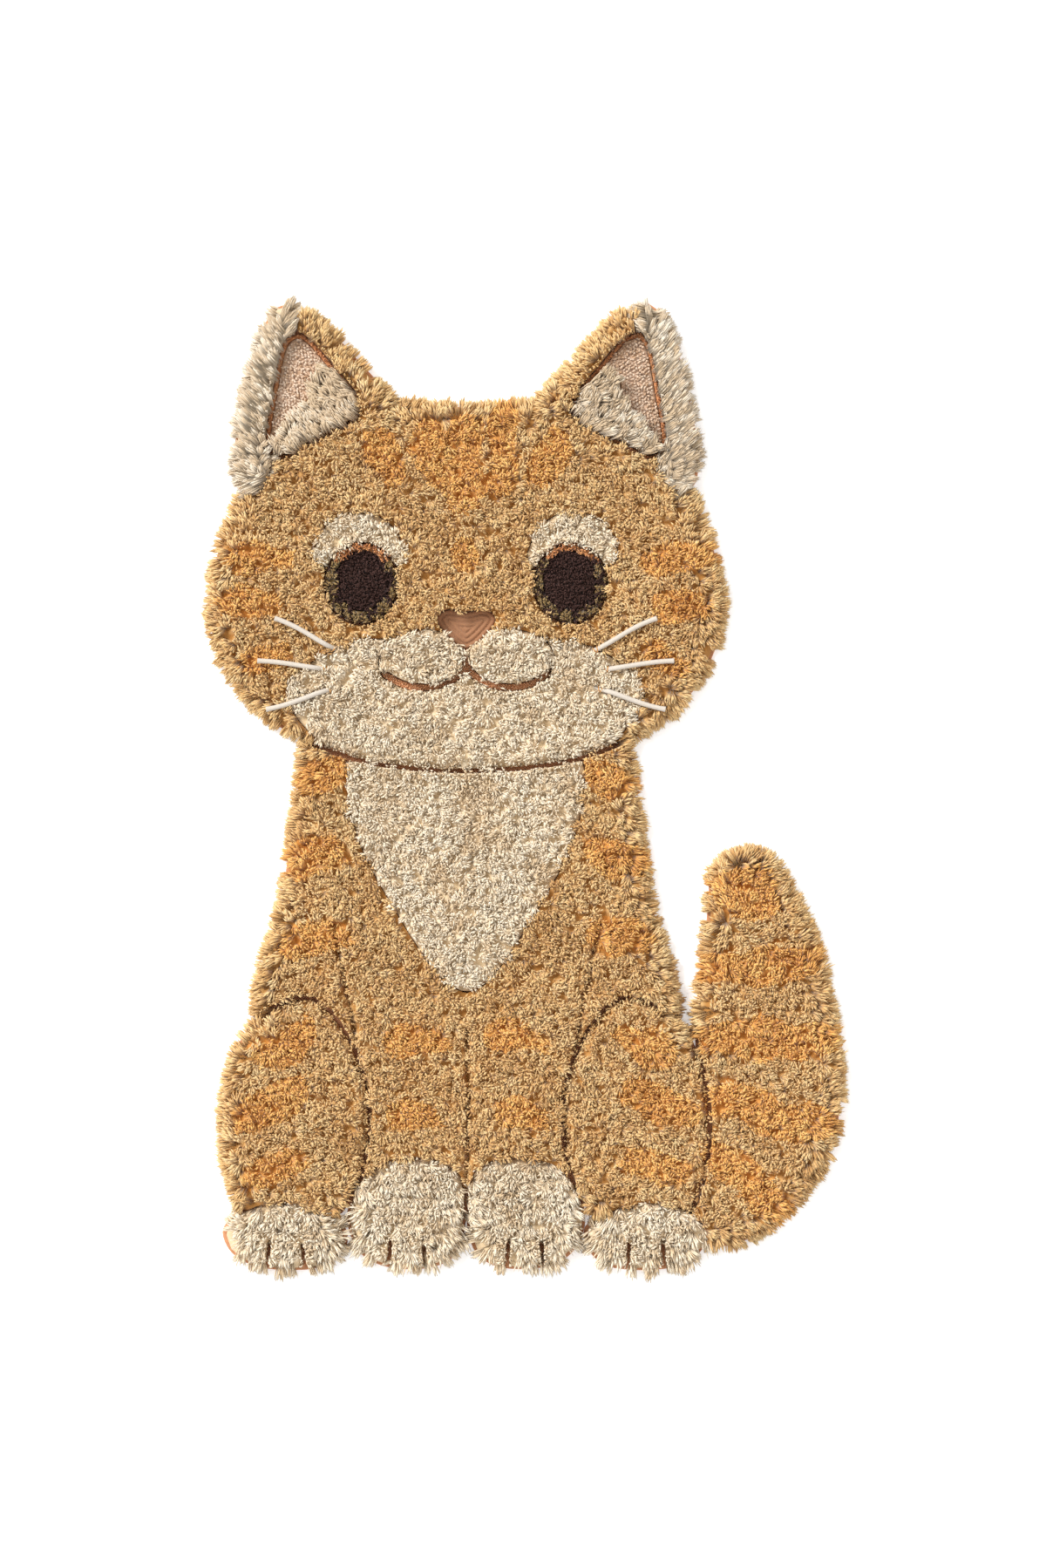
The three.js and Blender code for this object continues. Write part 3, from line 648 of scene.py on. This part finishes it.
class Shader:
    """A node material whose last node is a Principled shader."""

    def __init__(self, name):
        self.material = bpy.data.materials.new(name)
        self.material.use_nodes = True
        self.tree = self.material.node_tree
        self.surface = self.tree.nodes["Principled BSDF"]

    def node(self, kind, inputs=(), **settings):
        """A new node of a kind, with its settings and inputs."""
        made = self.tree.nodes.new(kind)
        for name, value in settings.items():
            setattr(made, name, value)
        self.fill(made, inputs)
        return made

    def fill(self, node, inputs):
        """Give a node's inputs their values, or join them to other nodes' outputs."""
        for socket, value in dict(inputs).items():
            if isinstance(value, bpy.types.NodeSocket):
                self.tree.links.new(value, node.inputs[socket])
            else:
                node.inputs[socket].default_value = value

    def number(self, name):
        """What the mesh says at each point under a name."""
        return self.node("ShaderNodeAttribute", attribute_name=name).outputs["Fac"]

    def place(self):
        """Each point's own place in the object."""
        return self.node("ShaderNodeTexCoord").outputs["Object"]

    def noise(self, place, scale, detail=2.0):
        """Noise that stays with the places it is given."""
        inputs = {"Vector": place, "Scale": scale, "Detail": detail}
        return self.node("ShaderNodeTexNoise", inputs).outputs["Fac"]

    def mapped(self, value, low=0, high=1, to=(0, 1)):
        """A value between low and high, as one between the two of to."""
        inputs = {"Value": value, "From Min": low, "From Max": high, "To Min": to[0], "To Max": to[1]}
        return self.node("ShaderNodeMapRange", inputs).outputs["Result"]

    def mixed(self, share, one, other):
        """A colour a share of the way from one to the other."""
        return self.node("ShaderNodeMix", {0: share, 6: one, 7: other}, data_type="RGBA").outputs[2]

    def scaled(self, colour, by):
        """A colour made lighter or darker by another node's output."""
        inputs = {"Vector": colour, "Scale": by}
        return self.node("ShaderNodeVectorMath", inputs, operation="SCALE").outputs[0]

    def finish(self, colour, bump, depth, strength, sheen):
        """The material, with its colour and relief joined to the surface."""
        raised = self.node("ShaderNodeBump", {"Height": bump, "Distance": depth, "Strength": strength})
        inputs = {
            "Base Color": colour,
            "Normal": raised.outputs["Normal"],
            "Roughness": 0.9,
            "Specular IOR Level": 0.15,
            "Sheen Weight": sheen,
            "Sheen Roughness": 0.6,
        }
        self.fill(self.surface, inputs)
        return self.material


def yarn_material(yarn):
    """Cut cotton: each strand has its own tone, painted shade at its root and fine fibre."""
    shader = Shader(f"{yarn['yarn']}_yarn")
    tip = yarn["tip"]
    full = linear(tip)
    by, towards = BLEACHED["by"], BLEACHED["towards"]
    bleached = linear([level + by * (towards - level) * level / towards for level in tip])
    deep = linear([share * level for share, level in zip(DEEP, tip)])
    tone = shader.number("tone")
    colour = shader.mixed(shader.mapped(tone, -1, 0), deep, full)
    colour = shader.mixed(shader.mapped(tone), colour, bleached)
    # Painted shade: towards the root colour where along is low, at a strand's root and between tufts.
    colour = shader.mixed(shader.number("along"), linear(yarn["root"]), colour)
    grain = shader.node("ShaderNodeAttribute", attribute_name="grain").outputs["Vector"]
    fibre = shader.noise(grain, GRAIN["scale"])
    colour = shader.scaled(colour, shader.mapped(fibre, to=GRAIN["light"]))
    sheen = SHEEN["dark" if yarn["yarn"] == "dark" else "light"]
    return shader.finish(colour, fibre, depth=0.0004, strength=0.6, sheen=sheen)


def canvas_material():
    """Plain woven cotton canvas: warp and weft a thread apart, with uneven dye."""
    shader = Shader("rust_canvas")
    inputs = {"Vector": shader.place(), **THREADS}
    threads = [shader.node("ShaderNodeTexWave", inputs, bands_direction=way).outputs["Fac"] for way in "XY"]
    weave = shader.node("ShaderNodeMath", dict(enumerate(threads)), operation="MAXIMUM").outputs[0]
    full = linear(WEAVE["colour"])
    dull = linear([WEAVE["dull"] * level for level in WEAVE["colour"]])
    dye = shader.mixed(shader.noise(shader.place(), WEAVE["dye"], detail=4), full, dull)
    colour = shader.scaled(dye, shader.mapped(weave, to=WEAVE["light"]))
    return shader.finish(colour, weave, depth=0.0005, strength=0.8, sheen=0.1)


def felted_material(cotton):
    """Smooth cord or close stitching: a fine knit over a little fibre."""
    shader = Shader(cotton["name"])
    knit = shader.noise(shader.place(), FELT["scale"], detail=3)
    fibre = shader.mapped(knit, to=FELT["light"])
    full = linear(cotton["colour"])
    dull = linear([FELT["dull"] * level for level in cotton["colour"]])
    patches = shader.noise(shader.place(), FELT["patches"])
    colour = shader.scaled(shader.mixed(patches, full, dull), fibre)
    return shader.finish(colour, knit, depth=0.0005, strength=0.7, sheen=0.25)


def floor_material():
    """Pale matt paint that glows a little, so that it looks nearly white."""
    shader = Shader("floor_paint")
    inputs = {
        "Base Color": (*FLOOR["colour"], 1),
        "Roughness": 0.9,
        "Emission Color": WHITE,
        "Emission Strength": FLOOR["glow"],
    }
    shader.fill(shader.surface, inputs)
    return shader.material


MATERIALS = {yarn["yarn"]: yarn_material(yarn) for yarn in YARNS}
MATERIALS |= {cotton["cotton"]: felted_material(cotton) for cotton in COTTONS}
MATERIALS["canvas"] = canvas_material()


def new_object(name, data):
    """A new object in the scene."""
    made = bpy.data.objects.new(name, data)
    bpy.context.scene.collection.objects.link(made)
    return made


def piece(name, parts, slot, nodes=()):
    """One object of several parts. It rides on the rug's body and stands for the CAD nodes."""
    points = np.vstack([p["points"] for p in parts]) * MM
    firsts = np.cumsum([0] + [len(p["points"]) for p in parts])
    triangles = np.vstack([p["triangles"] + first for p, first in zip(parts, firsts)])
    worn = np.concatenate([np.broadcast_to(p["yarn"], len(p["triangles"])) for p in parts])
    yarns, material = np.unique(worn, return_inverse=True)
    mesh = bpy.data.meshes.new(name)
    mesh.vertices.add(len(points))
    mesh.vertices.foreach_set("co", points.ravel())
    mesh.loops.add(triangles.size)
    mesh.loops.foreach_set("vertex_index", triangles.ravel())
    mesh.polygons.add(len(triangles))
    mesh.polygons.foreach_set("loop_start", np.arange(0, triangles.size, 3))
    mesh.polygons.foreach_set("material_index", material)
    mesh.polygons.foreach_set("use_smooth", np.ones(len(triangles), bool))
    for reading in ("tone", "along"):
        values = np.concatenate([p[reading] for p in parts])
        mesh.attributes.new(reading, "FLOAT", "POINT").data.foreach_set("value", values)
    grain = np.vstack([p["grain"] for p in parts])
    mesh.attributes.new("grain", "FLOAT_VECTOR", "POINT").data.foreach_set("vector", grain.ravel())
    for yarn in yarns:
        mesh.materials.append(MATERIALS[yarn])
    mesh.update(calc_edges=True)
    made = new_object(name, mesh)
    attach(made, "root")
    if nodes:
        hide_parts(*nodes)
    return made


# The whiskers come first, because the rest is placed from the kitten's middle line


def whisker_path(whisker, sign):
    """A whisker's middle line, from the middle line of the kitten."""
    turn = np.radians(whisker["degrees"])
    way = np.array([sign * np.cos(turn), np.sin(turn)])
    across = np.array([-sign * np.sin(turn), np.cos(turn)])
    along, aside, height = np.array([list(row.values()) for row in WHISKER_ROUTE], float).T[:, :, None]
    root = np.array([sign * whisker["x"], whisker["y"]])
    return np.hstack([root + along * way + whisker["bow"] * aside * across, height])


def smooth(route, steps):
    """A finer line through a route's points."""
    rows = np.vstack([2 * route[0] - route[1], route, 2 * route[-1] - route[-2]])
    at = np.linspace(0, len(route) - 1, steps)
    first = np.minimum(at.astype(int), len(route) - 2)
    return curve(*(rows[first + k] for k in range(4)), (at - first)[:, None])


def middle_line():
    """Where the kitten's own middle stands in the frame, from the whiskers' boxes."""
    shifts = []
    for whisker in WHISKERS:
        for side, sign in BOTH.items():
            low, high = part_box(f"whisker_{whisker['at']}_{side}")
            path = whisker_path(whisker, sign)
            middle = (path.min(axis=0) + path.max(axis=0)) / 2
            shifts.append((np.array(low) + np.array(high))[:2] / 2 / MM - middle[:2])
    return np.mean(shifts, axis=0)


MIDDLE = middle_line()


def cord_radius(share, angle):
    """A twisted cord's radius: wider at its cut end, and pressed where it is sewn on."""
    twist = FULL_TURN * WHISKER["turns"] * share
    plies = 1 + WHISKER["relief"] * np.abs(np.sin(WHISKER["plies"] * angle / 2 + twist))
    flare = 1 + WHISKER_ENDS["flare"] * np.clip((share - 1) / WHISKER_ENDS["flare_long"] + 1, 0, 1)
    tuck = 1 - WHISKER_ENDS["tuck"] * np.clip(1 - share / WHISKER_ENDS["tuck_long"], 0, 1)
    return WHISKER["diameter"] / 2 * WHISKER["drawn"] * plies * flare * tuck


def thread_radius(share, angle):
    """A thread is as thick all along and all round."""
    return np.full(np.broadcast(share, angle).shape, STITCH["thick"] / 2)


def stitch_path(path, share, slant):
    """A thread that goes over a cord, from one side of it into the pile to the other."""
    index = int(share * (len(path) - 1))
    along = unit(path[index + 1] - path[index])
    across = unit(np.cross(along, [0, 0, 1]))
    angle = np.linspace(-STITCH["dips"], 1 + STITCH["dips"], STITCH["steps"])[:, None] * np.pi
    reach = STITCH["reach"] * across + slant * along
    return path[index] + np.cos(angle) * reach + np.sin(angle) * np.array([0, 0, STITCH["reach"]])


def make_whisker(whisker, side, sign):
    """One whisker: a cord, and the threads that sew it on."""
    route = whisker_path(whisker, sign) + [*MIDDLE, 0]
    path = smooth(route, WHISKER["steps"])
    length = np.linalg.norm(np.diff(path, axis=0), axis=1).sum()
    name = f"whisker_{whisker['at']}_{side}"
    cord = piece(f"{name}_cord", [tube(path, cord_radius, WHISKER["sides"], "cord")], "whisker_cord", [name])
    threads = [
        tube(stitch_path(path, along / length, slant), thread_radius, STITCH["sides"], "thread")
        for along, slant in zip(STITCH["at"], (STITCH["slant"], -STITCH["slant"]))
    ]
    sewn = piece(f"{name}_stitches", threads, "rust_loops")


def make_camera():
    """The camera looks straight down, with the rug's box where the photograph has it."""
    low, high = CAD_BOX
    scale = (high.y - low.y) / MM / PHOTO["rug_tall"]
    data = bpy.data.cameras.new("camera")
    data.lens = CAMERA["sensor"] * CAMERA["height"] / (PHOTO["tall"] * scale)
    data.sensor_width = CAMERA["sensor"]
    data.clip_end = CAMERA["sees"] * MM
    camera = new_object("camera", data)
    right = (PHOTO["rug_x"] - PHOTO["wide"] / 2) * scale
    down = (PHOTO["rug_y"] - PHOTO["tall"] / 2) * scale
    camera.location = (-right * MM, down * MM, CAMERA["height"] * MM)
    bpy.context.scene.camera = camera


# The tufted fields


def side_nodes(field):
    """The CAD nodes of a field, one or a left and a right one."""
    return [f"{field['node']}_{side}" for side in field["sides"]] or [field["node"]]


LOW_FIELDS = ("ear_line", "ear_lining", "mouth_line")
OUTLINES = {node: outlines_of(node) for field in FIELDS for node in side_nodes(field)}
CLOTH = outlines_of("ground_cloth")


def ginger(xy, rng):
    """Whether a tuft is in ginger yarn: inside one of the bars, whose edges are ragged."""
    own = xy - MIDDLE
    depth = np.full(len(own), -FAR)
    for bar in BARS:
        for sign in (1,) if bar["x"] == 0 or bar["at"].startswith("tail") else (1, -1):
            turn = np.radians(bar["turn"])
            way = np.array([sign * np.cos(turn), np.sin(turn)])
            rel = own - [sign * bar["x"], bar["y"]]
            along = rel @ way
            half = bar["long"] / 2
            beyond = np.abs(along) - half
            across = np.abs(rel @ [-way[1], way[0]])
            wide = bar["half_wide"] * (1 - BAR_EDGE["taper"] * np.clip(np.abs(along) / half, 0, 1) ** 2)
            depth = np.maximum(depth, np.minimum(wide - across, -beyond))
    wander = BAR_EDGE["wander"] * ripple(xy, BAR_EDGE["reach"], SEEDS["bars"])
    return depth + wander + rng.normal(0, BAR_EDGE["ragged"], len(xy)) > 0


def yarn_of(field, xy, rng):
    """The yarn at each point of a field: its own, ginger in a bar, or that mixed in or above an eye."""
    yarn = np.full(len(xy), field["yarn"], dtype="U8")
    if field["node"] in BARRED:
        yarn[ginger(xy, rng)] = "ginger"
    if field["node"] == "eye_ring":
        yarn[rng.uniform(0, 1, len(xy)) < EYE_RING["share"]] = EYE_RING["mixed"]
        yarn[(xy - MIDDLE)[:, 1] > EYE_RING["above"]] = "copper"
    return yarn


def other_fields(node):
    """The outlines of each of the other fields of tall pile."""
    return [
        loops for other, loops in OUTLINES.items() if other != node and not other.startswith(LOW_FIELDS)
    ]


def beside_another(node, xy):
    """Whether another field of tall pile stands at each point."""
    found = np.zeros(len(xy), bool)
    for loops in other_fields(node):
        found |= holds(loops, xy)
    return found


def by_carved_line(node, xy, own_gap, rim_gap):
    """Whether each point is beside a carved line, and not where two fields meet or at the rug's rim."""
    near = own_gap < NEAR["edge"]
    other_gap = np.full(len(xy), FAR)
    other_gap[near], _ = nearest_edge(sum(other_fields(node), []), xy[near])
    return near & (rim_gap > own_gap + NEAR["rim"]) & (other_gap > own_gap + NEAR["meets"])


def thin_at_rim(kind, xy, rim_gap):
    """Whether each point is one of the bare spots along the rug's rim."""
    chance = 0.5 + 0.5 * ripple(xy, BARE["reach"], SEEDS["bare"])
    return (rim_gap < BARE["within"]) & (chance < kind["bare"])


def lean_of(kind, xy, mirror, out_of_rim, rim_gap, opening, rng):
    """The way each tuft leans: as the pile flows, outwards near the rim, and away from an open line."""
    angle = FLOW["turns"] * ripple(xy, FLOW["reach"], SEEDS["flow"]) + rng.normal(0, kind["stray"], len(xy))
    if "comb" in kind:
        angle = np.arctan2(kind["comb"][1], kind["comb"][0]) + rng.normal(0, kind["stray"], len(xy))
    way = np.column_stack([np.cos(angle), np.sin(angle)])
    if "comb" in kind:
        way = way * mirror
    combed = np.clip(1 - (rim_gap - COMBED["from"]) / COMBED["within"], 0, 1) ** COMBED["fall"]
    twist = kind.get("twist", 0) * mirror[0]
    way = unit(way + kind["pull"] * combed[:, None] * turned(out_of_rim, twist))
    lean = rng.uniform(*kind["lean"], len(xy))
    lean = lean * (1 - combed) + kind["rim_lean"] * combed
    opened = opening.any(axis=1)
    way[opened] = opening[opened]
    lean[opened] = CARVED["lean"]
    axis = np.column_stack([way * np.sin(lean)[:, None], np.cos(lean)])
    return axis, combed * ~opened


def place_tufts(field, kind, node, surface, rng):
    """Where a field's tufts stand, which way they lean, and their tone and yarn."""
    mirror = np.array([-1 if node.endswith("_left") else 1, 1])
    xy = lattice(OUTLINES[node], kind["every"], rng, kind["jitter"], kind["turn"], kind["rows"])
    own_gap, own_out = nearest_edge(OUTLINES[node], xy)
    rim_gap, out = nearest_edge(CLOTH, xy)
    carved = by_carved_line(node, xy, own_gap, rim_gap)
    kept = own_gap > np.where(carved, max(CARVED["margin"], kind["margin"]), kind["margin"])
    kept &= ~thin_at_rim(kind, xy, rim_gap)
    xy = xy[kept]
    opening = -own_out[kept] * (carved[kept] & (field["node"] in OPEN))[:, None]
    axis, combed = lean_of(kind, xy, mirror, out[kept], rim_gap[kept], opening, rng)
    z = surface.heights(xy) + rng.normal(0, kind["uneven"] / 2, len(xy))
    tone = rng.normal(kind["tone"], TONES["tuft"], len(xy))
    tone += TONES["wide"] * ripple(xy, TONES["reach"], SEEDS["tone"])
    yarn = yarn_of(field, xy, rng)
    return {"at": np.column_stack([xy, z]), "axis": axis, "combed": combed, "tone": tone, "yarn": yarn}


def nearest_tuft(placed, xy):
    """The nearest tuft to each point, and how far off it is."""
    tree = kdtree.KDTree(len(placed["at"]))
    for index, (x, y, _) in enumerate(placed["at"]):
        tree.insert((x, y, 0), index)
    tree.balance()
    found = [tree.find((x, y, 0)) for x, y in xy]
    return np.array([hit[1] for hit in found]), np.array([hit[2] for hit in found])


def make_undercoat(kind, node, surface, placed, rng):
    """The body of a field's pile: a block whose top swells under each tuft, with painted shade between the
    tufts and on its low sides.
    """
    loops = OUTLINES[node]

    def height_at(xy):
        gap, out = nearest_edge(loops, xy)
        inset = UNDERCOAT["inset"] * (1 - np.clip(gap / UNDERCOAT["edge"], 0, 1))
        inside = xy - inset[:, None] * out
        _, away = nearest_tuft(placed, xy)
        dip = kind["valley"] * np.clip(away / CREVICE, 0, 1) ** 2
        return np.maximum(surface.heights(inside) - kind["under"] - dip, surface.low + UNDERCOAT["base"])

    block = drawn_in(loops, UNDERCOAT["clear"], UNDERCOAT["corners"])
    points, triangles = slab(block, kind["pitch"], height_at, surface.low, rng)
    index, away = nearest_tuft(placed, points[:, :2])
    # Painted shade: towards the root colour away from a tuft, and fully on the low sides.
    along = UNDERCOAT["middle"] - UNDERCOAT["falls"] * np.clip(away / CREVICE, 0, 1)
    along[points[:, 2] < surface.low + UNDERCOAT["base"]] = 0
    yarn = placed["yarn"][index[triangles[:, 0]]]
    return part(points, triangles, yarn, placed["tone"][index], along)


def make_top(field, kind, node, surface, placed, rng):
    """The strands that stand on a field's top."""

    def free_at(xy):
        """Whether a strand may lie at each point. A kind with clear lines leaves them open."""
        if not kind["clear"]:
            return np.ones(len(xy), bool)
        return holds(OUTLINES[node], xy) | ~holds(CLOTH, xy) | beside_another(node, xy)

    def yarn_at(xy):
        return yarn_of(field, xy, rng)

    def height_at(place, at):
        top = 0.5 * (at[:, 2] + surface.heights(place[:, :2], at[:, 2]))
        away = np.linalg.norm((place - at)[:, :2], axis=1)
        return top - kind["under"] + CURL["over"] - kind["valley"] * np.clip(away / CREVICE, 0, 1) ** 2

    at, axis, combed, yarn, tone = (placed[name] for name in ("at", "axis", "combed", "yarn", "tone"))
    if kind["curls"]:
        return curls(at, height_at, free_at, axis, combed, kind, yarn_at, tone, rng)
    up = np.tile([0.0, 0.0, 1.0], (len(at), 1))
    return tufts(at, axis, up, combed, kind, yarn, tone, rng)


def make_sides(field, kind, node, surface, rng):
    """The strands of a field's side, which hang over the rug's rim and stand in the lines."""
    a, b = edges_of([spaced(loop, SIDES["every"]) for loop in OUTLINES[node]])
    out = out_across(a, b)
    at = (a + b) / 2
    rim_gap, _ = nearest_edge(CLOTH, at)
    at_rim = (rim_gap < SIDES["at_rim"]) & ~holds(CLOTH, at + SIDES["beyond"] * out)
    in_line = ~at_rim & ~beside_another(node, at + SIDES["probe"] * out)
    at_rim &= ~thin_at_rim(kind, at, rim_gap)
    made = []
    for side, chosen in ((FRINGE, at_rim), (WALL, in_line)):
        inner = at[chosen] - side["inside"] * out[chosen]
        top = surface.heights(inner) - kind["under"]
        own = {**kind, **side}
        for level in side["levels"]:
            reached = (top > level) | (side is FRINGE)
            made.append(side_strands(field, own, inner[reached], out[chosen][reached], level, rng))
    return made


def side_strands(field, kind, at, out, level, rng):
    """The strands that grow out of a field's side at one level."""
    xy = at + rng.normal(0, kind["shaken"], at.shape)
    anchor = np.column_stack([xy, level + rng.normal(0, SIDES["level"], len(xy))])
    up = kind["up"] + rng.normal(0, SIDES["tilt"], len(xy))
    axis = unit(np.column_stack([kind["out"] * out + rng.normal(0, kind["stray"], out.shape), up]))
    tone = rng.normal(SIDES["tone"], TONES["tuft"], len(xy))
    return tufts(anchor, axis, axis, np.ones(len(xy)), kind, yarn_of(field, xy, rng), tone, rng)


def make_field(field, node, seed):
    """A field of pile: its undercoat, and the strands on its top and its side."""
    rng = np.random.default_rng(seed)
    kind = KINDS[field["kind"]]
    surface = Surface(node)
    placed = place_tufts(field, kind, node, surface, rng)
    grown = [make_top(field, kind, node, surface, placed, rng)]
    if kind["sides"]:
        grown += make_sides(field, kind, node, surface, rng)
    undercoat = make_undercoat(kind, node, surface, placed, rng)
    slot = SLOTS[field["yarn"]]
    if field["node"] in BARRED:
        piece(f"{node}_undercoat", [undercoat], slot, [node])
        piece(f"{node}_strands", grown, slot, [node])
    else:
        piece(f"{node}_pile", [undercoat, *grown], slot, [node])


def make_nose():
    """The nose: soft ribs, one inside the other, along its outline."""
    rng = np.random.default_rng(SEEDS["nose"])
    loops = [spaced(smooth_loop(loop), RIBS["outline"]) for loop in outlines_of("nose")]
    low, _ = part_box("nose")

    def height_at(xy):
        gap, _ = nearest_edge(loops, xy)
        rib = np.abs(np.sin(np.pi * gap / RIBS["apart"])) ** RIBS["round"]
        return RIBS["foot"] + RIBS["tall"] * rib

    points, triangles = slab(loops, RIBS["pitch"], height_at, low.z / MM, rng)
    piece("nose_ribs", [part(points, triangles, "brown", 0, 1)], "brown_ribs", ["nose"])


def smooth_loop(loop):
    """A finer closed outline through an outline's corners."""
    rows = np.vstack([loop[-1:], loop, loop[:2]])
    share = np.arange(FINER)[None, :, None] / FINER
    return curve(*(rows[k : k + len(loop)][:, None] for k in range(4)), share).reshape(-1, 2)


def make_cloth():
    """The canvas that carries the pile, with its hem folded under and pressed flat."""
    rng = np.random.default_rng(SEEDS["cloth"])
    loops = [spaced(smooth_loop(loop), CANVAS["outline"]) for loop in CLOTH]

    def height_at(xy):
        gap, _ = nearest_edge(loops, xy)
        edge = np.clip(gap / HEM["edge"], 0, 1)
        fold = np.clip((gap - HEM["fold"]) / HEM["fold_wide"], 0, 1)
        return HEM["top"] - HEM["drop"] * (1 - edge) ** 2 - HEM["step"] * fold

    rings = (HEM["edge"], HEM["fold"], HEM["fold"] + HEM["fold_wide"])
    points, triangles = slab(loops, CANVAS["pitch"], height_at, 0, rng, rings)
    parts = [part(points, triangles, "canvas", 0, 1)]
    cloth = piece("ground_cloth_canvas", parts, "ground_cloth", ["ground_cloth"])
    (x, y), (after_x, after_y) = (side.T for side in edges_of(loops))


def make_floor():
    """A wide floor under the rug."""
    mesh = bpy.data.meshes.new("floor")
    half = FLOOR["half"] * MM
    corners = [(-half, -half, 0), (half, -half, 0), (half, half, 0), (-half, half, 0)]
    mesh.from_pydata(corners, [], [(0, 1, 2, 3)])
    mesh.materials.append(floor_material())
    floor = new_object("floor", mesh)


def make_light():
    """The sun at the upper left and the white sky."""
    sun = bpy.data.lights.new("key", "SUN")
    sun.energy = KEY_LIGHT["strength"]
    sun.angle = np.radians(KEY_LIGHT["spread"])
    lamp = new_object("key", sun)
    lamp.rotation_euler = (-np.radians(KEY_LIGHT["from_top"]), -np.radians(KEY_LIGHT["from_left"]), 0)
    world = bpy.data.worlds.new("studio")
    world.use_nodes = True
    sky = world.node_tree.nodes["Background"]
    sky.inputs["Color"].default_value = WHITE
    sky.inputs["Strength"].default_value = SKY
    bpy.context.scene.world = world
    bpy.context.scene.view_settings.view_transform = "Standard"


make_camera()
for whisker_row in WHISKERS:
    for which, direction in BOTH.items():
        make_whisker(whisker_row, which, direction)
make_cloth()
make_nose()
for number, field_row in enumerate(FIELDS):
    for part_of_pair, node_name in enumerate(side_nodes(field_row)):
        make_field(field_row, node_name, SEEDS["fields"] + 2 * number + part_of_pair)
make_floor()
make_light()
